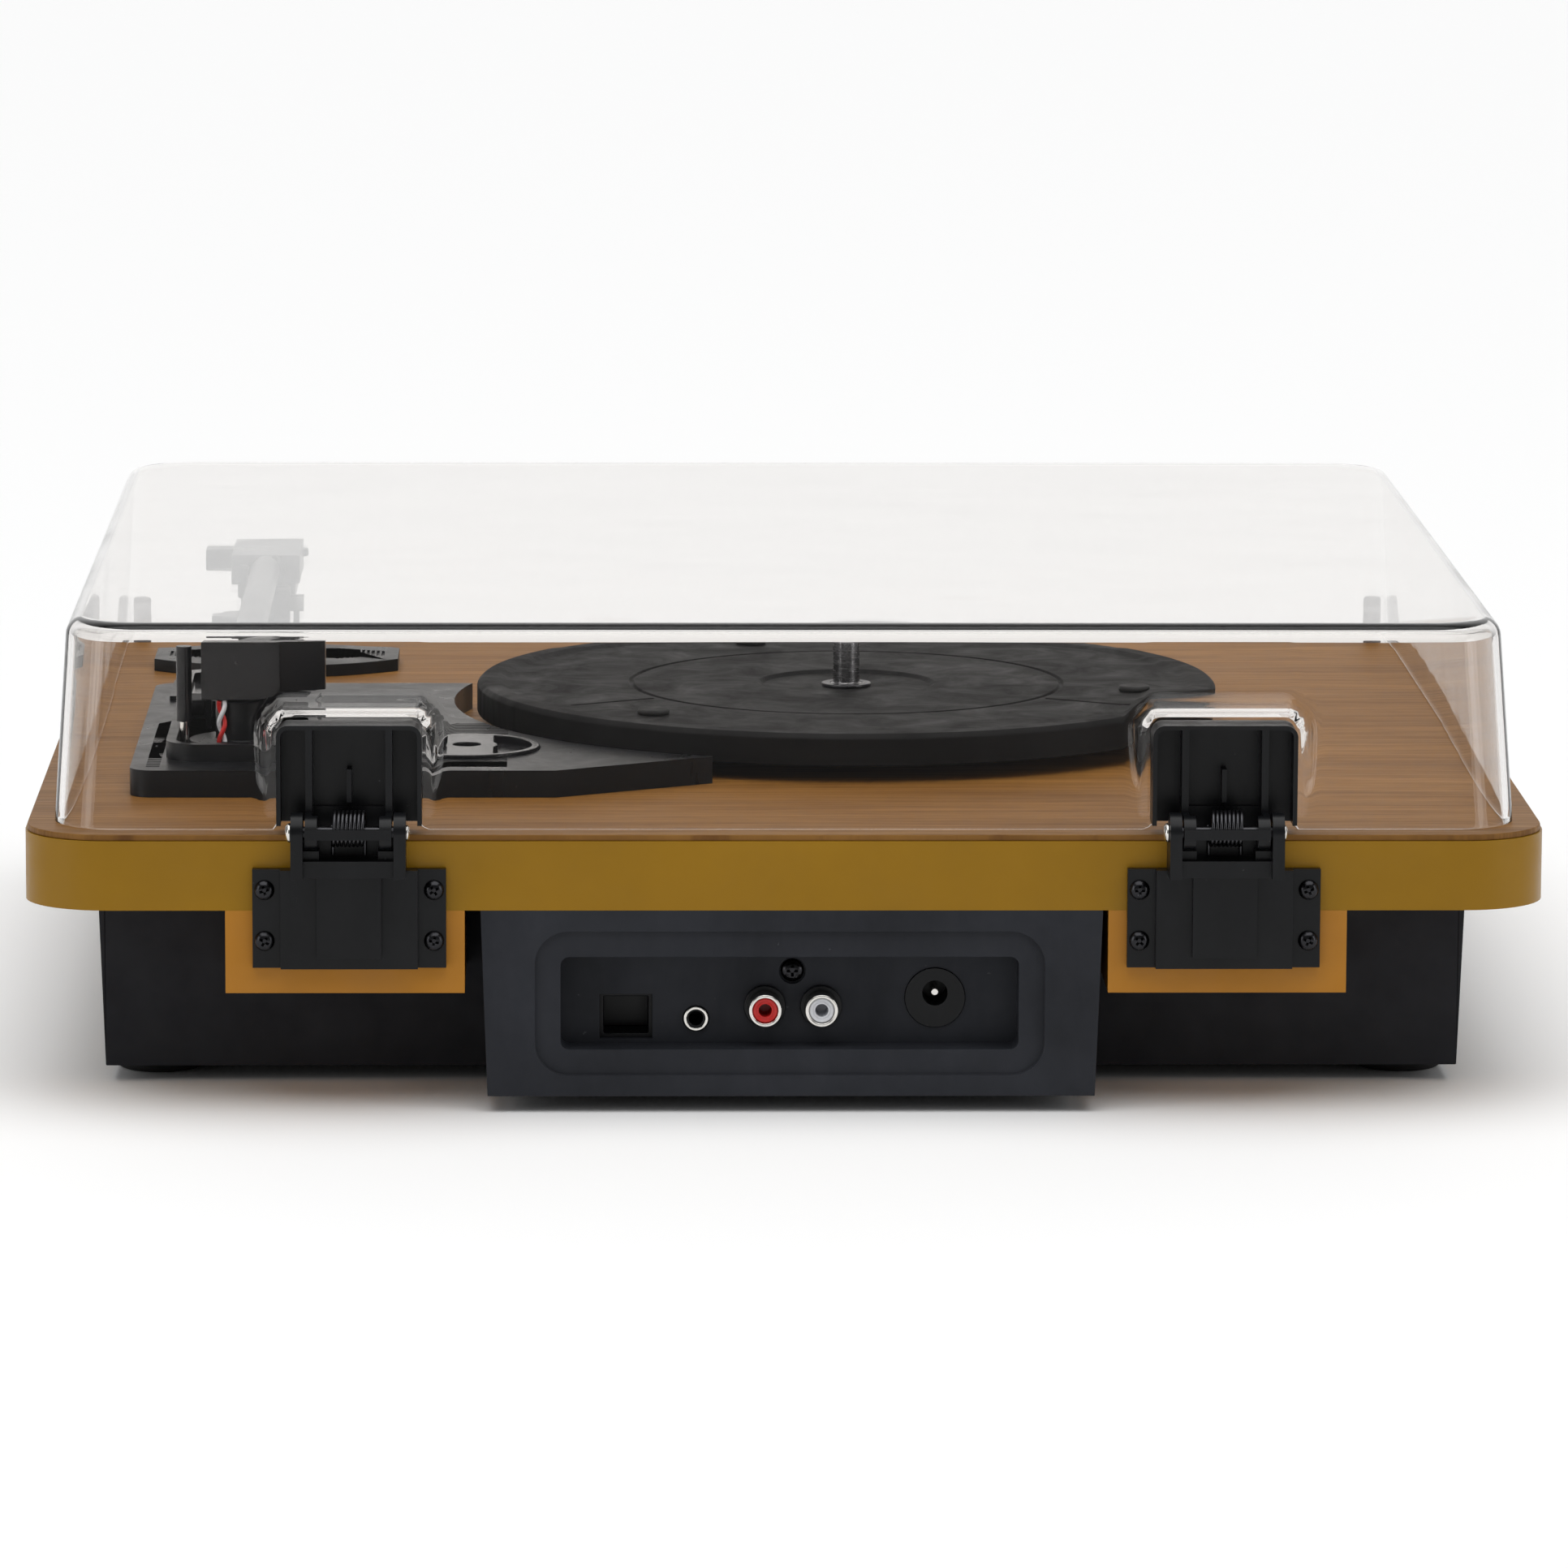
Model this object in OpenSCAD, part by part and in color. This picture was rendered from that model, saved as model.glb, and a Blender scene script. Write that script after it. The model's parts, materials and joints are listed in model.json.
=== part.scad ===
/* [Plinth] */
// Width of the wooden plinth, left to right
plinth_w = 380; // [372:1:390]
// Depth of the wooden plinth, front to back
plinth_d = 365; // [360:1:372]
// Thickness of the plinth board with its veneer
plinth_t = 19; // [16:0.5:22]
// Height of the deck surface above the table
deck_z = 70; // [66:0.5:74]
// Plan radius of the plinth corners
plinth_r = 21; // [12:1:30]
// Thickness of the wood veneer on the deck
veneer_t = 1.6; // [1:0.1:2.4]

/* [Cabinet] */
// Width of the cabinet where it meets the plinth
cabinet_w = 346.5; // [340:0.5:350]
// How much narrower the cabinet is at its foot
cabinet_taper = 3.5; // [0:0.5:6]
// Distance of the cabinet back wall from the plinth back edge
cabinet_inset_back = 41; // [38:1:44]
// Distance of the cabinet front wall from the plinth front edge
cabinet_inset_front = 17; // [14:1:20]
// Wall thickness of the cabinet
cabinet_wall = 4; // [3:0.5:5]
// Height of the rubber feet below the cabinet
foot_h = 4; // [3:0.5:6]
// Diameter of the rubber feet
foot_dia = 22.8; // [18:0.2:26]

/* [Connector box] */
// Width of the rear connector box where it meets the plinth
box_w = 154.9; // [150:0.1:158]
// How much narrower the connector box is at its foot
box_taper = 3.4; // [0:0.2:5]
// Width of the connector recess
recess_w = 114.1; // [112:0.1:120]
// Height of the connector recess
recess_h = 23.4; // [22:0.2:26]
// Depth of the connector recess
recess_d = 11; // [9:0.5:13]
// Outer diameter of the phono socket barrels
phono_dia = 8.2; // [8:0.1:8.4]
// Bore of the 3.5 mm jack sockets
jack_bore = 3.6; // [3.5:0.05:3.8]
// Opening of the power socket
power_bore = 6.3; // [6:0.1:6.6]

/* [Dust cover] */
// Width of the cover at its lower edge
cover_w = 365.6; // [360:0.2:370]
// Height of the cover
cover_h = 49.5; // [46:0.5:54]
// Wall thickness of the cover
cover_t = 2.3; // [2:0.1:3]
// Plan radius of the cover corners
cover_r = 16; // [12:1:20]

/* [Platter] */
// Diameter of the platter
platter_dia = 197.8; // [190:0.2:202]
// Diameter of the centre spindle
spindle_dia = 7.1; // [7:0.05:7.15]
// Height of the spindle tip above the deck
spindle_h = 24.7; // [22:0.1:28]

/* [Tonearm] */
// Distance from the tonearm pivot to the stylus
arm_length = 192; // [186:1:196]
// Diameter of the tonearm tube
arm_dia = 8; // [7:0.2:9]
// Height of the tonearm axis above the deck
arm_h = 28; // [27:0.5:29]

/* [Hidden] */
$fn = 64;
fine = 128;       // segments of the large round parts
gap = 0.3;        // free space between parts that pass each other
fit = 0.05;       // running clearance on a radius
eps = 0.01;       // overlap that keeps a cut clean

// Levels
plinth_z = deck_z - plinth_t;
board_top = deck_z - veneer_t;

// The hinges reach this far behind the plinth, so the middle of the whole box is the origin
hinge_reach = 12.5;
back_y = (plinth_d + hinge_reach) / 2 - hinge_reach;
front_y = back_y - plinth_d;
plinth_mid = (back_y + front_y) / 2;

// Y of a point that lies a given depth in from the back edge of the plinth
function in_y(depth) = back_y - depth;

// Cabinet
cabinet_back = in_y(cabinet_inset_back);
cabinet_front = front_y + cabinet_inset_front;
mitre_x = (cabinet_w - cabinet_taper) / 2;
mitre_gap = 0.1;
panel_t = 3;
panel_half = (cabinet_w - cabinet_taper) / 2 - cabinet_wall - gap;
foot_boss_r = 5;
foot_boss_h = 16;
foot_screw_r = 1.5;
screw_head_r = 3.2;
foot_x = 158.5;
foot_inset = 21.7;
foot_r = foot_dia / 2;
foot_ys = [cabinet_back - foot_inset, cabinet_front + foot_inset];

// Connector box
box_x = -1.3;
lip_w = 126.9;
lip_h = 36.4;
lip_r = 8.4;
lip_d = 1.2;
lip_z = 27.4;
recess_x = -0.85;
recess_z = 27.3;
recess_r = 2.2;
panel_y = back_y - recess_d;
socket_wall = 2.5;
panel_margin = 4;
phono_z = 25;
phono_red_x = 5.2;
phono_white_x = -8.9;
phono_len = 8;
phono_r = phono_dia / 2;
phono_root_r = phono_r - 0.2;
phono_throat = 3.2;
collar_r = 5.25;
collar_t = 1.6;
aux_x = 22.4;
aux_z = 21.7;
usb_x = 39.9;
usb_z = 22.2;
usb_w = 13.2;
usb_h = 11.4;
power_x = -37.4;
power_z = 27;
power_r = 7.5;
power_hole_z = 28.2;
screw_x = -1.7;
screw_z = 33.8;
screw_sink = 1.2;
jack_r = 3.2;
jack_half = 4;
jack_len = 16;
insert_bore_r = 1.65;
power_back = 11;
power_pin_r = 1;

// Hinges
hinge_x = 108.6;
block_x = 109.75;
block_w = 59.4;
block_z = 30.2;
pin_y = back_y + 7.5;
pin_z = deck_z + 1.8;
pin_r = 1.6;
bracket_w = 48;
bracket_z = 37;
bracket_h = 24.8;
bracket_t = 2.4;
rib_w = 34;
rib_t = 4.6;
channel_w = 16;
channel_t = 6.6;
channel_z = 40;
bracket_top = bracket_z + bracket_h;
shield_t = 1.4;
shield_z = deck_z + 0.4;
bridge_z = deck_z - 5;
bridge_back = back_y + 10;
shoulder_x = 7.3;
shoulder_z = deck_z - 2.8;
ear_outer = 14.2;
ear_t = 3;
ear_r = hinge_reach - pin_y + back_y;
hinge_screw_r = 2.5;
hinge_screw_len = 12;
hinge_screw_x = 21;
hinge_screw_zs = [43.8, 56.6];
rivet_r = 2.4;
rivet_t = 1.5;
rivet_tail_r = 1.9;
rivet_tail_t = 1;
shank_share = 0.45;   // shank radius of a screw, as a share of its head radius
leaf_w = 36;
leaf_z0 = deck_z + 2.6;
leaf_z1 = deck_z + 27.7;
leaf_back = back_y + 2;
leaf_base_t = 2;
leaf_wall = 1.1;
leaf_r = 3;
leaf_rib_x = 9.9;
leaf_rib_t = 1.7;
short_rib_t = 1.2;
short_rib_z0 = deck_z + 8;
short_rib_z1 = deck_z + 16.3;
knuckle_r = 4.2;
knuckle_x = 9.2;
knuckle_w = 3;
strip_t = 1.2;
strip_z0 = pin_z - 1.1;
strip_z1 = pin_z + 1.5;
spring_y = pin_y - 1;
spring_z = pin_z + 0.9;
spring_r = 4.15;
spring_wire_r = 0.45;
spring_pitch = 1;
spring_turns = 9;

// Dust cover
cover_z0 = deck_z + gap;
cover_z1 = cover_z0 + cover_h;
cover_margin = (plinth_w - cover_w) / 2;
cover_back = back_y - cover_margin;
cover_front = front_y + cover_margin;
cover_mid = (cover_back + cover_front) / 2;
cover_side_draft = 2.75;
cover_back_draft = 12;
cover_front_draft = 1;
boss_x0 = 85;
boss_x1 = 132.5;
boss_top = deck_z + 32;
boss_back = cover_back - 0.5;
boss_mid = (boss_x0 + boss_x1) / 2;
boss_half = (boss_x1 - boss_x0) / 2;
notch_h = 2.2;
notch_half = 18.2;
bumper_x = 176.5;
bumper_inset = 11.1;
bumper_r = 2.5;
bumper_h = 10;

// Platter and drive
platter_x = -20.1;
platter_y = in_y(179.5);
platter_r = platter_dia / 2;
platter_top = deck_z + 12.8;
platter_low = deck_z + 4.4;
platter_skin = 2.6;
rim_in = 91;
label_r = 50;
ring_r = 57;
groove_w = 1.2;
mat_drop = 0.9;
slot_count = 3;
pad_r = 78;
pad_dia = 8.4;
hub_r = 9;
belt_ring_r = 70;
spindle_r = spindle_dia / 2;
bearing_r = 4.3;
hub_bore_r = bearing_r + fit;
record_z = platter_top - 1;
tip_h = 1.4;
tip_z = deck_z + spindle_h - tip_h;
bush_r = 7.4;
bush_flange_r = 12;
spindle_foot_r = 6;
washer_r = 6.6;
motor_angle = 205;
motor_reach = 84;
motor_x = platter_x + motor_reach * cos(motor_angle);
motor_y = platter_y + motor_reach * sin(motor_angle);
motor_r = 17;
motor_h = 20;
motor_boss_r = 4;
motor_hole_r = 6;
motor_shaft_r = 1;
flange_t = 3;
pulley_r = 4;
belt_t = 0.8;
belt_z0 = deck_z + 2.4;
belt_z1 = deck_z + 7;

// Control plate
plate_t = 7;
plate_z = deck_z + plate_t;
plate_x1 = 166;
plate_y0 = in_y(210);
plate_y1 = in_y(58);
plate_corner = 6;
plate_tip_x = 17.3;
plate_tip_y = in_y(81);
plate_bend_x = 57.5;
plate_front_x = 80.5;
plate_arc_r = 105;
field_d = 0.8;
rib_pitch = 2;
rib_count = 37;
field_y0 = in_y(137);
field_x0 = 70;
field_x1 = 162;

// Tonearm
arm_x = 138.5;
arm_y = in_y(99);
arm_z = deck_z + arm_h;
arm_r = arm_dia / 2;
well_x0 = 119.5;
well_x1 = 157.5;
well_y0 = in_y(150);
well_y1 = in_y(72);
well_wall = 2.6;
well_h = 4.5;
well_r = 9;
arm_column_r = 12;
arm_flange_r = 14;
lift_hole_r = 2.5;
column_r = 7;
column_top = deck_z + 19.4;
turret_z0 = deck_z + 20;
turret_z1 = deck_z + 35.6;
turret_shaft_r = 3;
turret_back = 7.5;
turret_front = -12;
turret_right = 10.4;
turret_left = -21.2;
turret_shoulder = -9.7;
fork_half = 5;
fork_z0 = arm_z - 5.8;
fork_z1 = arm_z + 5.8;
fork_back = 5.6;
arm_block_half = 4.4;
arm_block_back = 4.6;
pivot_pin_r = 1.2;
stylus_y = arm_y - arm_length;
shell_y1 = stylus_y + 21;
shell_y0 = stylus_y - 15;
shell_half = 9.5;
shell_z0 = deck_z + 24;
shell_z1 = deck_z + 32;
shell_wall = 1.2;
shell_top_t = 1.6;
finger_w = 8;
finger_z0 = shell_z1 - 7.5;
finger_z1 = shell_z1 - 1.5;
cartridge_z0 = deck_z + 18.5;
cartridge_half = 8;
stylus_z = deck_z + 15.6;
lift_x = 153.5;
lift_y = in_y(96);
lift_rod_r = 1.1;
lift_sleeve_r = 2;
lift_sleeve_z0 = deck_z + 14;
lift_bar_z1 = arm_z - arm_r - gap;
lift_bar_t = 2.4;
lift_ring_in = 20.5;
lift_ring_out = 25.5;
lever_x0 = 149.6;
lever_x1 = 153.4;
lever_z = deck_z + 13;
lever_y = in_y(131);
lever_len = 30;
lever_pin_r = 1.2;
cheek_t = 1.6;

// Tonearm rest
rest_x = 136;
rest_y = in_y(291);
rest_half_w = 34;
rest_half_d = 24;
rest_t = 3.4;
rest_z = deck_z + rest_t;
post_y0 = stylus_y + 23;
post_y1 = stylus_y + 29;
post_x0 = 131.6;
post_x1 = 153.1;
post_z = deck_z + 16.6;
post_w = 5.4;
prong_x = 143.2;
prong_w = 1.8;
cradle_z = arm_z - arm_r - gap;
clip_x = 129.8;
clip_z = deck_z + 19.5;
clip_half = 0.8;
clip_len = 14.5;
clip_hook = 5.6;
clip_pin_r = 0.8;
clip_barrel_r = 1.5;
clip_side = 1.5;

// Adapter and switches
adapter_x = 80.6;
adapter_y = in_y(96);
adapter_r = 18.8;
adapter_t = 3.2;
adapter_floor = plate_z - 2.4;
switch_y0 = in_y(208);
switch_y1 = in_y(178);
switch_x0 = 122;
switch_x1 = 161;
switch_rise = 1.2;
switch_z = plate_z + switch_rise;
speed_x = 133;
stop_x = 150;
switch_w = 6;
switch_slot = 17;
switch_len = 7;
slider_top = 3.4;

// Front controls
front_z = 28;
speaker_x = 108;
speaker_r = 19.5;
speaker_d = 14;
magnet_r = 11;
magnet_d = 8;
grille_w = 92;
grille_h = 30;
grille_slots = 7;
knob_r = 9;
knob_len = 11;
knob_stand = 1;
flute_count = 24;
shaft_r = 3;
pot_half = 9;
phones_x = -34;
phones_r = 4;
phones_half = 5;
board_half = 45;
board_y0 = cabinet_front + 60;
board_y1 = cabinet_front + 120;
board_z = foot_h + panel_t + 3;
board_t = 1.6;

// A rectangle with four round corners, centred on its middle
module round_rect(w, d, r) {
    square([w - 2 * r, d], center = true);
    square([w, d - 2 * r], center = true);
    for (sx = [-1, 1], sy = [-1, 1])
        translate([sx * (w / 2 - r), sy * (d / 2 - r)]) circle(r);
}

// A rod along X, centred on the given point
module rod_x(r, length) {
    rotate([0, 90, 0]) cylinder(r = r, h = length, center = true);
}

// A rod along Y that runs from y0 to y1
module rod_y(r, y0, y1) {
    translate([0, y1, 0]) rotate([90, 0, 0]) cylinder(r = r, h = y1 - y0);
}

// A solid box from its two opposite corners
module box(low, high) {
    translate(low) cube(high - low);
}

// A prism along Y whose width goes from w0 at z0 to w1 at z1
module tapered_wall(w0, w1, z0, z1, y0, y1) {
    translate([0, y1, 0]) rotate([90, 0, 0]) linear_extrude(y1 - y0)
        polygon([[-w0 / 2, z0], [w0 / 2, z0], [w1 / 2, z1], [-w1 / 2, z1]]);
}

// Everything that passes down through the deck
module deck_cuts(z0, z1) {
    translate([platter_x, platter_y, z0]) cylinder(r = bush_r, h = z1 - z0);
    translate([motor_x, motor_y, z0]) cylinder(r = motor_hole_r, h = z1 - z0);
    translate([arm_x, arm_y, z0]) cylinder(r = arm_column_r, h = z1 - z0);
    translate([lift_x, lift_y, z0]) cylinder(r = lift_hole_r, h = z1 - z0);
    for (x = [speed_x, stop_x])
        box([x - 2, switch_y0 + 4, z0], [x + 2, switch_y1 - 4, z1]);
}

module plinth() color([0.55, 0.40, 0.12]) difference() {
    translate([0, plinth_mid, plinth_z]) linear_extrude(board_top - plinth_z)
        round_rect(plinth_w, plinth_d, plinth_r);
    deck_cuts(plinth_z - eps, board_top + eps);
    hinge_pilots(hinge_screw_zs[1]);
}

module deck_veneer() color([0.63, 0.47, 0.30]) difference() {
    translate([0, plinth_mid, board_top]) linear_extrude(veneer_t)
        round_rect(plinth_w - 1, plinth_d - 1, plinth_r - 0.5);
    deck_cuts(board_top - eps, deck_z + eps);
}

module cabinet_solid(wall, z0, z1) {
    tapered_wall(cabinet_w - cabinet_taper - 2 * wall, cabinet_w - 2 * wall, z0, z1,
        cabinet_front + wall, cabinet_back - wall);
}

// The plan region of the front board (s = -1) or back board (s = 1), cut off at 45 degrees
module mitre(s, extra) translate([0, s < 0 ? cabinet_front : cabinet_back, foot_h - 1])
    linear_extrude(plinth_z - foot_h + 2) polygon([
        [-mitre_x - 10 - extra, s * 10], [mitre_x + 10 + extra, s * 10],
        [mitre_x - 10 + extra, -s * 10], [-mitre_x + 10 - extra, -s * 10]
    ]);

module cabinet_walls() difference() {
    cabinet_solid(0, foot_h, plinth_z);
    cabinet_solid(cabinet_wall, foot_h - eps, plinth_z + eps);
}

// Four boards that meet at mitred corners, open above and below
module cabinet() color([0.13, 0.13, 0.15]) difference() {
    union() {
        for (s = [-1, 1]) intersection() {
            cabinet_walls();
            mitre(s, 0);
        }
        difference() {
            cabinet_walls();
            for (s = [-1, 1]) mitre(s, mitre_gap);
        }
    }
    for (sx = [-1, 1])
        translate([sx * speaker_x, cabinet_front + cabinet_wall / 2, front_z])
            cube([grille_w, cabinet_wall + 1, grille_h], center = true);
    translate([0, 0, front_z])
        rod_y(shaft_r + 1.5, cabinet_front - 1, cabinet_front + cabinet_wall + 1);
    translate([phones_x, 0, front_z])
        rod_y(phones_r, cabinet_front - 1, cabinet_front + cabinet_wall + 1);
    box([-recess_w / 2, cabinet_back - cabinet_wall - 1, recess_z - recess_h / 2],
        [recess_w / 2, cabinet_back + 1, recess_z + recess_h / 2]);
}

// The panel that closes the cabinet from below, with a screw boss over each foot
module bottom_panel() color([0.10, 0.10, 0.11]) difference() {
    union() {
        box([-panel_half, cabinet_front + cabinet_wall + gap, foot_h],
            [panel_half, cabinet_back - cabinet_wall - gap, foot_h + panel_t]);
        for (sx = [-1, 1], y = foot_ys)
            translate([sx * foot_x, y, foot_h]) cylinder(r = foot_boss_r, h = foot_boss_h);
    }
    for (sx = [-1, 1], y = foot_ys)
        translate([sx * foot_x, y, foot_h - 1]) cylinder(r = foot_screw_r, h = foot_boss_h - 1);
}

module rubber_feet() color([0.06, 0.06, 0.06]) for (sx = [-1, 1], y = foot_ys)
    translate([sx * foot_x, y, 0]) difference() {
        union() {
            cylinder(r1 = foot_r - 1, r2 = foot_r, h = 1);
            translate([0, 0, 1]) cylinder(r = foot_r, h = foot_h - 1);
        }
        translate([0, 0, 1]) cylinder(r = foot_screw_r, h = foot_h);
        translate([0, 0, -1]) cylinder(r = screw_head_r, h = screw_head_r);
    }

// The screws that hold the feet and the cabinet
module case_screws() color([0.62, 0.62, 0.64]) for (sx = [-1, 1], y = foot_ys)
    translate([sx * foot_x, y, 0]) {
        translate([0, 0, 1.2]) cylinder(r = screw_head_r, h = 1);
        translate([0, 0, 2]) cylinder(r = foot_screw_r, h = foot_boss_h);
    }

module connector_box() color([0.16, 0.16, 0.18]) difference() {
    translate([box_x, 0, 0])
        tapered_wall(box_w - box_taper, box_w, foot_h, plinth_z, cabinet_back, back_y);
    translate([box_x, 0, 0])
        tapered_wall(box_w - box_taper - 2 * socket_wall, box_w - 2 * socket_wall,
            foot_h + socket_wall, plinth_z - socket_wall, cabinet_back - 1, panel_y);
    translate([recess_x, back_y - lip_d, lip_z]) rotate([-90, 0, 0]) linear_extrude(lip_d + 1)
        round_rect(lip_w, lip_h, lip_r);
    translate([recess_x, panel_y - 1, recess_z]) rotate([-90, 0, 0]) linear_extrude(recess_d + 2)
        round_rect(recess_w, recess_h, recess_r);
}

// The flat panel that carries the sockets and closes the recess from inside the box
module socket_panel() color([0.15, 0.15, 0.17]) difference() {
    translate([recess_x, panel_y - socket_wall / 2, recess_z])
        cube([recess_w + 2 * panel_margin, socket_wall, recess_h + 2 * panel_margin], center = true);
    for (x = [phono_red_x, phono_white_x])
        translate([x, 0, phono_z]) rod_y(phono_r + 0.4, panel_y - socket_wall - 1, panel_y + 1);
    translate([aux_x, 0, aux_z]) rod_y(jack_r + 0.1, panel_y - socket_wall - 1, panel_y + 1);
    translate([power_x, 0, power_z]) rod_y(power_r + 0.1, panel_y - socket_wall - 1, panel_y + 1);
    translate([screw_x, 0, screw_z]) rod_y(3.3, panel_y - screw_sink, panel_y + 1);
    translate([screw_x, 0, screw_z]) rod_y(1.6, panel_y - socket_wall - 1, panel_y + 1);
    box([usb_x - usb_w / 2, panel_y - socket_wall - 1, usb_z - usb_h / 2],
        [usb_x + usb_w / 2, panel_y + 1, usb_z + usb_h / 2]);
}

// The plated barrels that a phono plug slides over
module phono_sockets() color([0.78, 0.78, 0.76]) for (x = [phono_red_x, phono_white_x])
    translate([x, 0, phono_z]) difference() {
        union() {
            rod_y(phono_root_r, panel_y - 6, panel_y + collar_t);
            rod_y(phono_r, panel_y + collar_t, panel_y + phono_len);
        }
        rod_y(phono_throat, panel_y - 7, panel_y + phono_len + 1);
    }

module phono_insert(x) translate([x, 0, phono_z]) difference() {
    rod_y(phono_throat, panel_y - 6, panel_y + phono_len - 0.6);
    rod_y(insert_bore_r, panel_y - 1, panel_y + phono_len);
}

module phono_insert_red() color([0.75, 0.10, 0.10]) phono_insert(phono_red_x);
module phono_insert_white() color([0.90, 0.90, 0.90]) phono_insert(phono_white_x);

module phono_collars() color([0.07, 0.07, 0.08]) for (x = [phono_red_x, phono_white_x])
    translate([x, 0, phono_z]) difference() {
        rod_y(collar_r, panel_y, panel_y + collar_t);
        rod_y(phono_root_r, panel_y - 1, panel_y + collar_t + 1);
    }

module aux_jack() color([0.08, 0.08, 0.09]) translate([aux_x, 0, aux_z]) difference() {
    union() {
        rod_y(jack_r, panel_y - socket_wall, panel_y);
        box([-jack_half, panel_y - jack_len, -jack_half],
            [jack_half, panel_y - socket_wall, jack_half]);
    }
    rod_y(jack_bore / 2, panel_y - 14, panel_y + 1);
}

module aux_jack_ring() color([0.80, 0.80, 0.80]) translate([aux_x, 0, aux_z]) difference() {
    rod_y(3.1, panel_y, panel_y + 1);
    rod_y(2.3, panel_y - 1, panel_y + 2);
}

module usb_socket() color([0.10, 0.10, 0.11]) difference() {
    box([usb_x - usb_w / 2 - 1.5, panel_y - jack_len, usb_z - usb_h / 2 - 1.5],
        [usb_x + usb_w / 2 + 1.5, panel_y - socket_wall, usb_z + usb_h / 2 + 1.5]);
    box([usb_x - usb_w / 2 + 1, panel_y - 13, usb_z - usb_h / 2 + 1],
        [usb_x + usb_w / 2 - 1, panel_y, usb_z + usb_h / 2 - 1]);
}

module power_socket() color([0.09, 0.09, 0.10]) translate([power_x, 0, power_z]) difference() {
    union() {
        rod_y(power_r, panel_y - socket_wall, panel_y + 0.5);
        box([-5, panel_y - 17, -6], [5, panel_y - socket_wall, 6.5]);
    }
    translate([0, 0, power_hole_z - power_z]) rod_y(power_bore / 2, panel_y - power_back, panel_y + 1);
}

module power_pin() color([0.80, 0.80, 0.80])
    translate([power_x, 0, power_hole_z]) rod_y(power_pin_r, panel_y - power_back, panel_y - 1);

// A pan-head screw whose axis points back; the cross recess is in its head
module cross_screw(r, length) difference() {
    union() {
        rod_y(r, 0, 0.9);
        translate([0, 0.9, 0]) rotate([-90, 0, 0]) cylinder(r1 = r, r2 = r * 0.6, h = 0.8);
        rod_y(r * shank_share, -length, 0);
    }
    box([-r * 0.6, 0.9, -0.25], [r * 0.6, 2, 0.25]);
    box([-0.25, 0.9, -r * 0.6], [0.25, 2, r * 0.6]);
}

module panel_screw() color([0.12, 0.12, 0.13])
    translate([screw_x, panel_y - screw_sink, screw_z]) cross_screw(2.9, 6);

// The holes that the hinge screws bite into, at one height
module hinge_pilots(z) for (side = [-1, 1], sx = [-1, 1])
    translate([side * hinge_x + sx * hinge_screw_x, 0, z])
        rod_y(hinge_screw_r * shank_share, back_y + bracket_t - hinge_screw_len, back_y + 1);

module hinge_blocks() color([0.66, 0.44, 0.12]) difference() {
    for (side = [-1, 1])
        box([side * block_x - block_w / 2, cabinet_back, block_z],
            [side * block_x + block_w / 2, back_y, plinth_z]);
    hinge_pilots(hinge_screw_zs[0]);
}

// The fixed half of a hinge: a screwed plate with two ears that hold the pin
module hinge_bracket(side) color([0.08, 0.08, 0.09]) translate([side * hinge_x, 0, 0]) difference() {
    union() {
        box([-bracket_w / 2, back_y, bracket_z],
            [bracket_w / 2, back_y + bracket_t, bracket_z + bracket_h]);
        box([-rib_w / 2, back_y, bracket_z], [rib_w / 2, back_y + rib_t, bracket_z + bracket_h]);
        box([-channel_w / 2, back_y, channel_z], [channel_w / 2, back_y + channel_t, bracket_top]);
        box([-ear_outer, back_y, bracket_top - 1], [ear_outer, back_y + shield_t, shield_z]);
        box([-ear_outer, back_y, bracket_top - 1], [ear_outer, bridge_back, bridge_z]);
        for (s = [-1, 1]) {
            translate([s * (shoulder_x + ear_outer) / 2, 0, 0])
                box([(shoulder_x - ear_outer) / 2, back_y, bracket_top - 1],
                    [(ear_outer - shoulder_x) / 2, pin_y, shoulder_z]);
            translate([s * (ear_outer - ear_t / 2), 0, 0]) {
                translate([0, pin_y, pin_z]) rod_x(ear_r, ear_t);
                box([-ear_t / 2, back_y, bracket_top - 1],
                    [ear_t / 2, pin_y + ear_r, pin_z - ear_r + 1]);
                box([-ear_t / 2, pin_y - ear_r, pin_z - ear_r], [ear_t / 2, pin_y + ear_r, pin_z]);
            }
        }
    }
    translate([0, pin_y, pin_z]) rod_x(pin_r, bracket_w);
    for (sx = [-1, 1], z = hinge_screw_zs)
        translate([sx * hinge_screw_x, 0, z])
            rod_y(hinge_screw_r * shank_share + gap / 2, back_y - 1, back_y + bracket_t + 1);
}

module hinge_bracket_left() hinge_bracket(-1);
module hinge_bracket_right() hinge_bracket(1);

module hinge_screws() color([0.10, 0.10, 0.11])
    for (side = [-1, 1], sx = [-1, 1], z = hinge_screw_zs)
        translate([side * hinge_x + sx * hinge_screw_x, back_y + bracket_t, z])
            cross_screw(hinge_screw_r, hinge_screw_len);

module hinge_pins() color([0.80, 0.80, 0.80]) for (side = [-1, 1])
    translate([side * hinge_x, pin_y, pin_z]) {
        rod_x(pin_r, 2 * ear_outer);
        translate([ear_outer + rivet_t / 2, 0, 0]) rod_x(rivet_r, rivet_t);
        translate([-ear_outer - rivet_tail_t / 2, 0, 0]) rod_x(rivet_tail_r, rivet_tail_t);
    }

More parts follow.
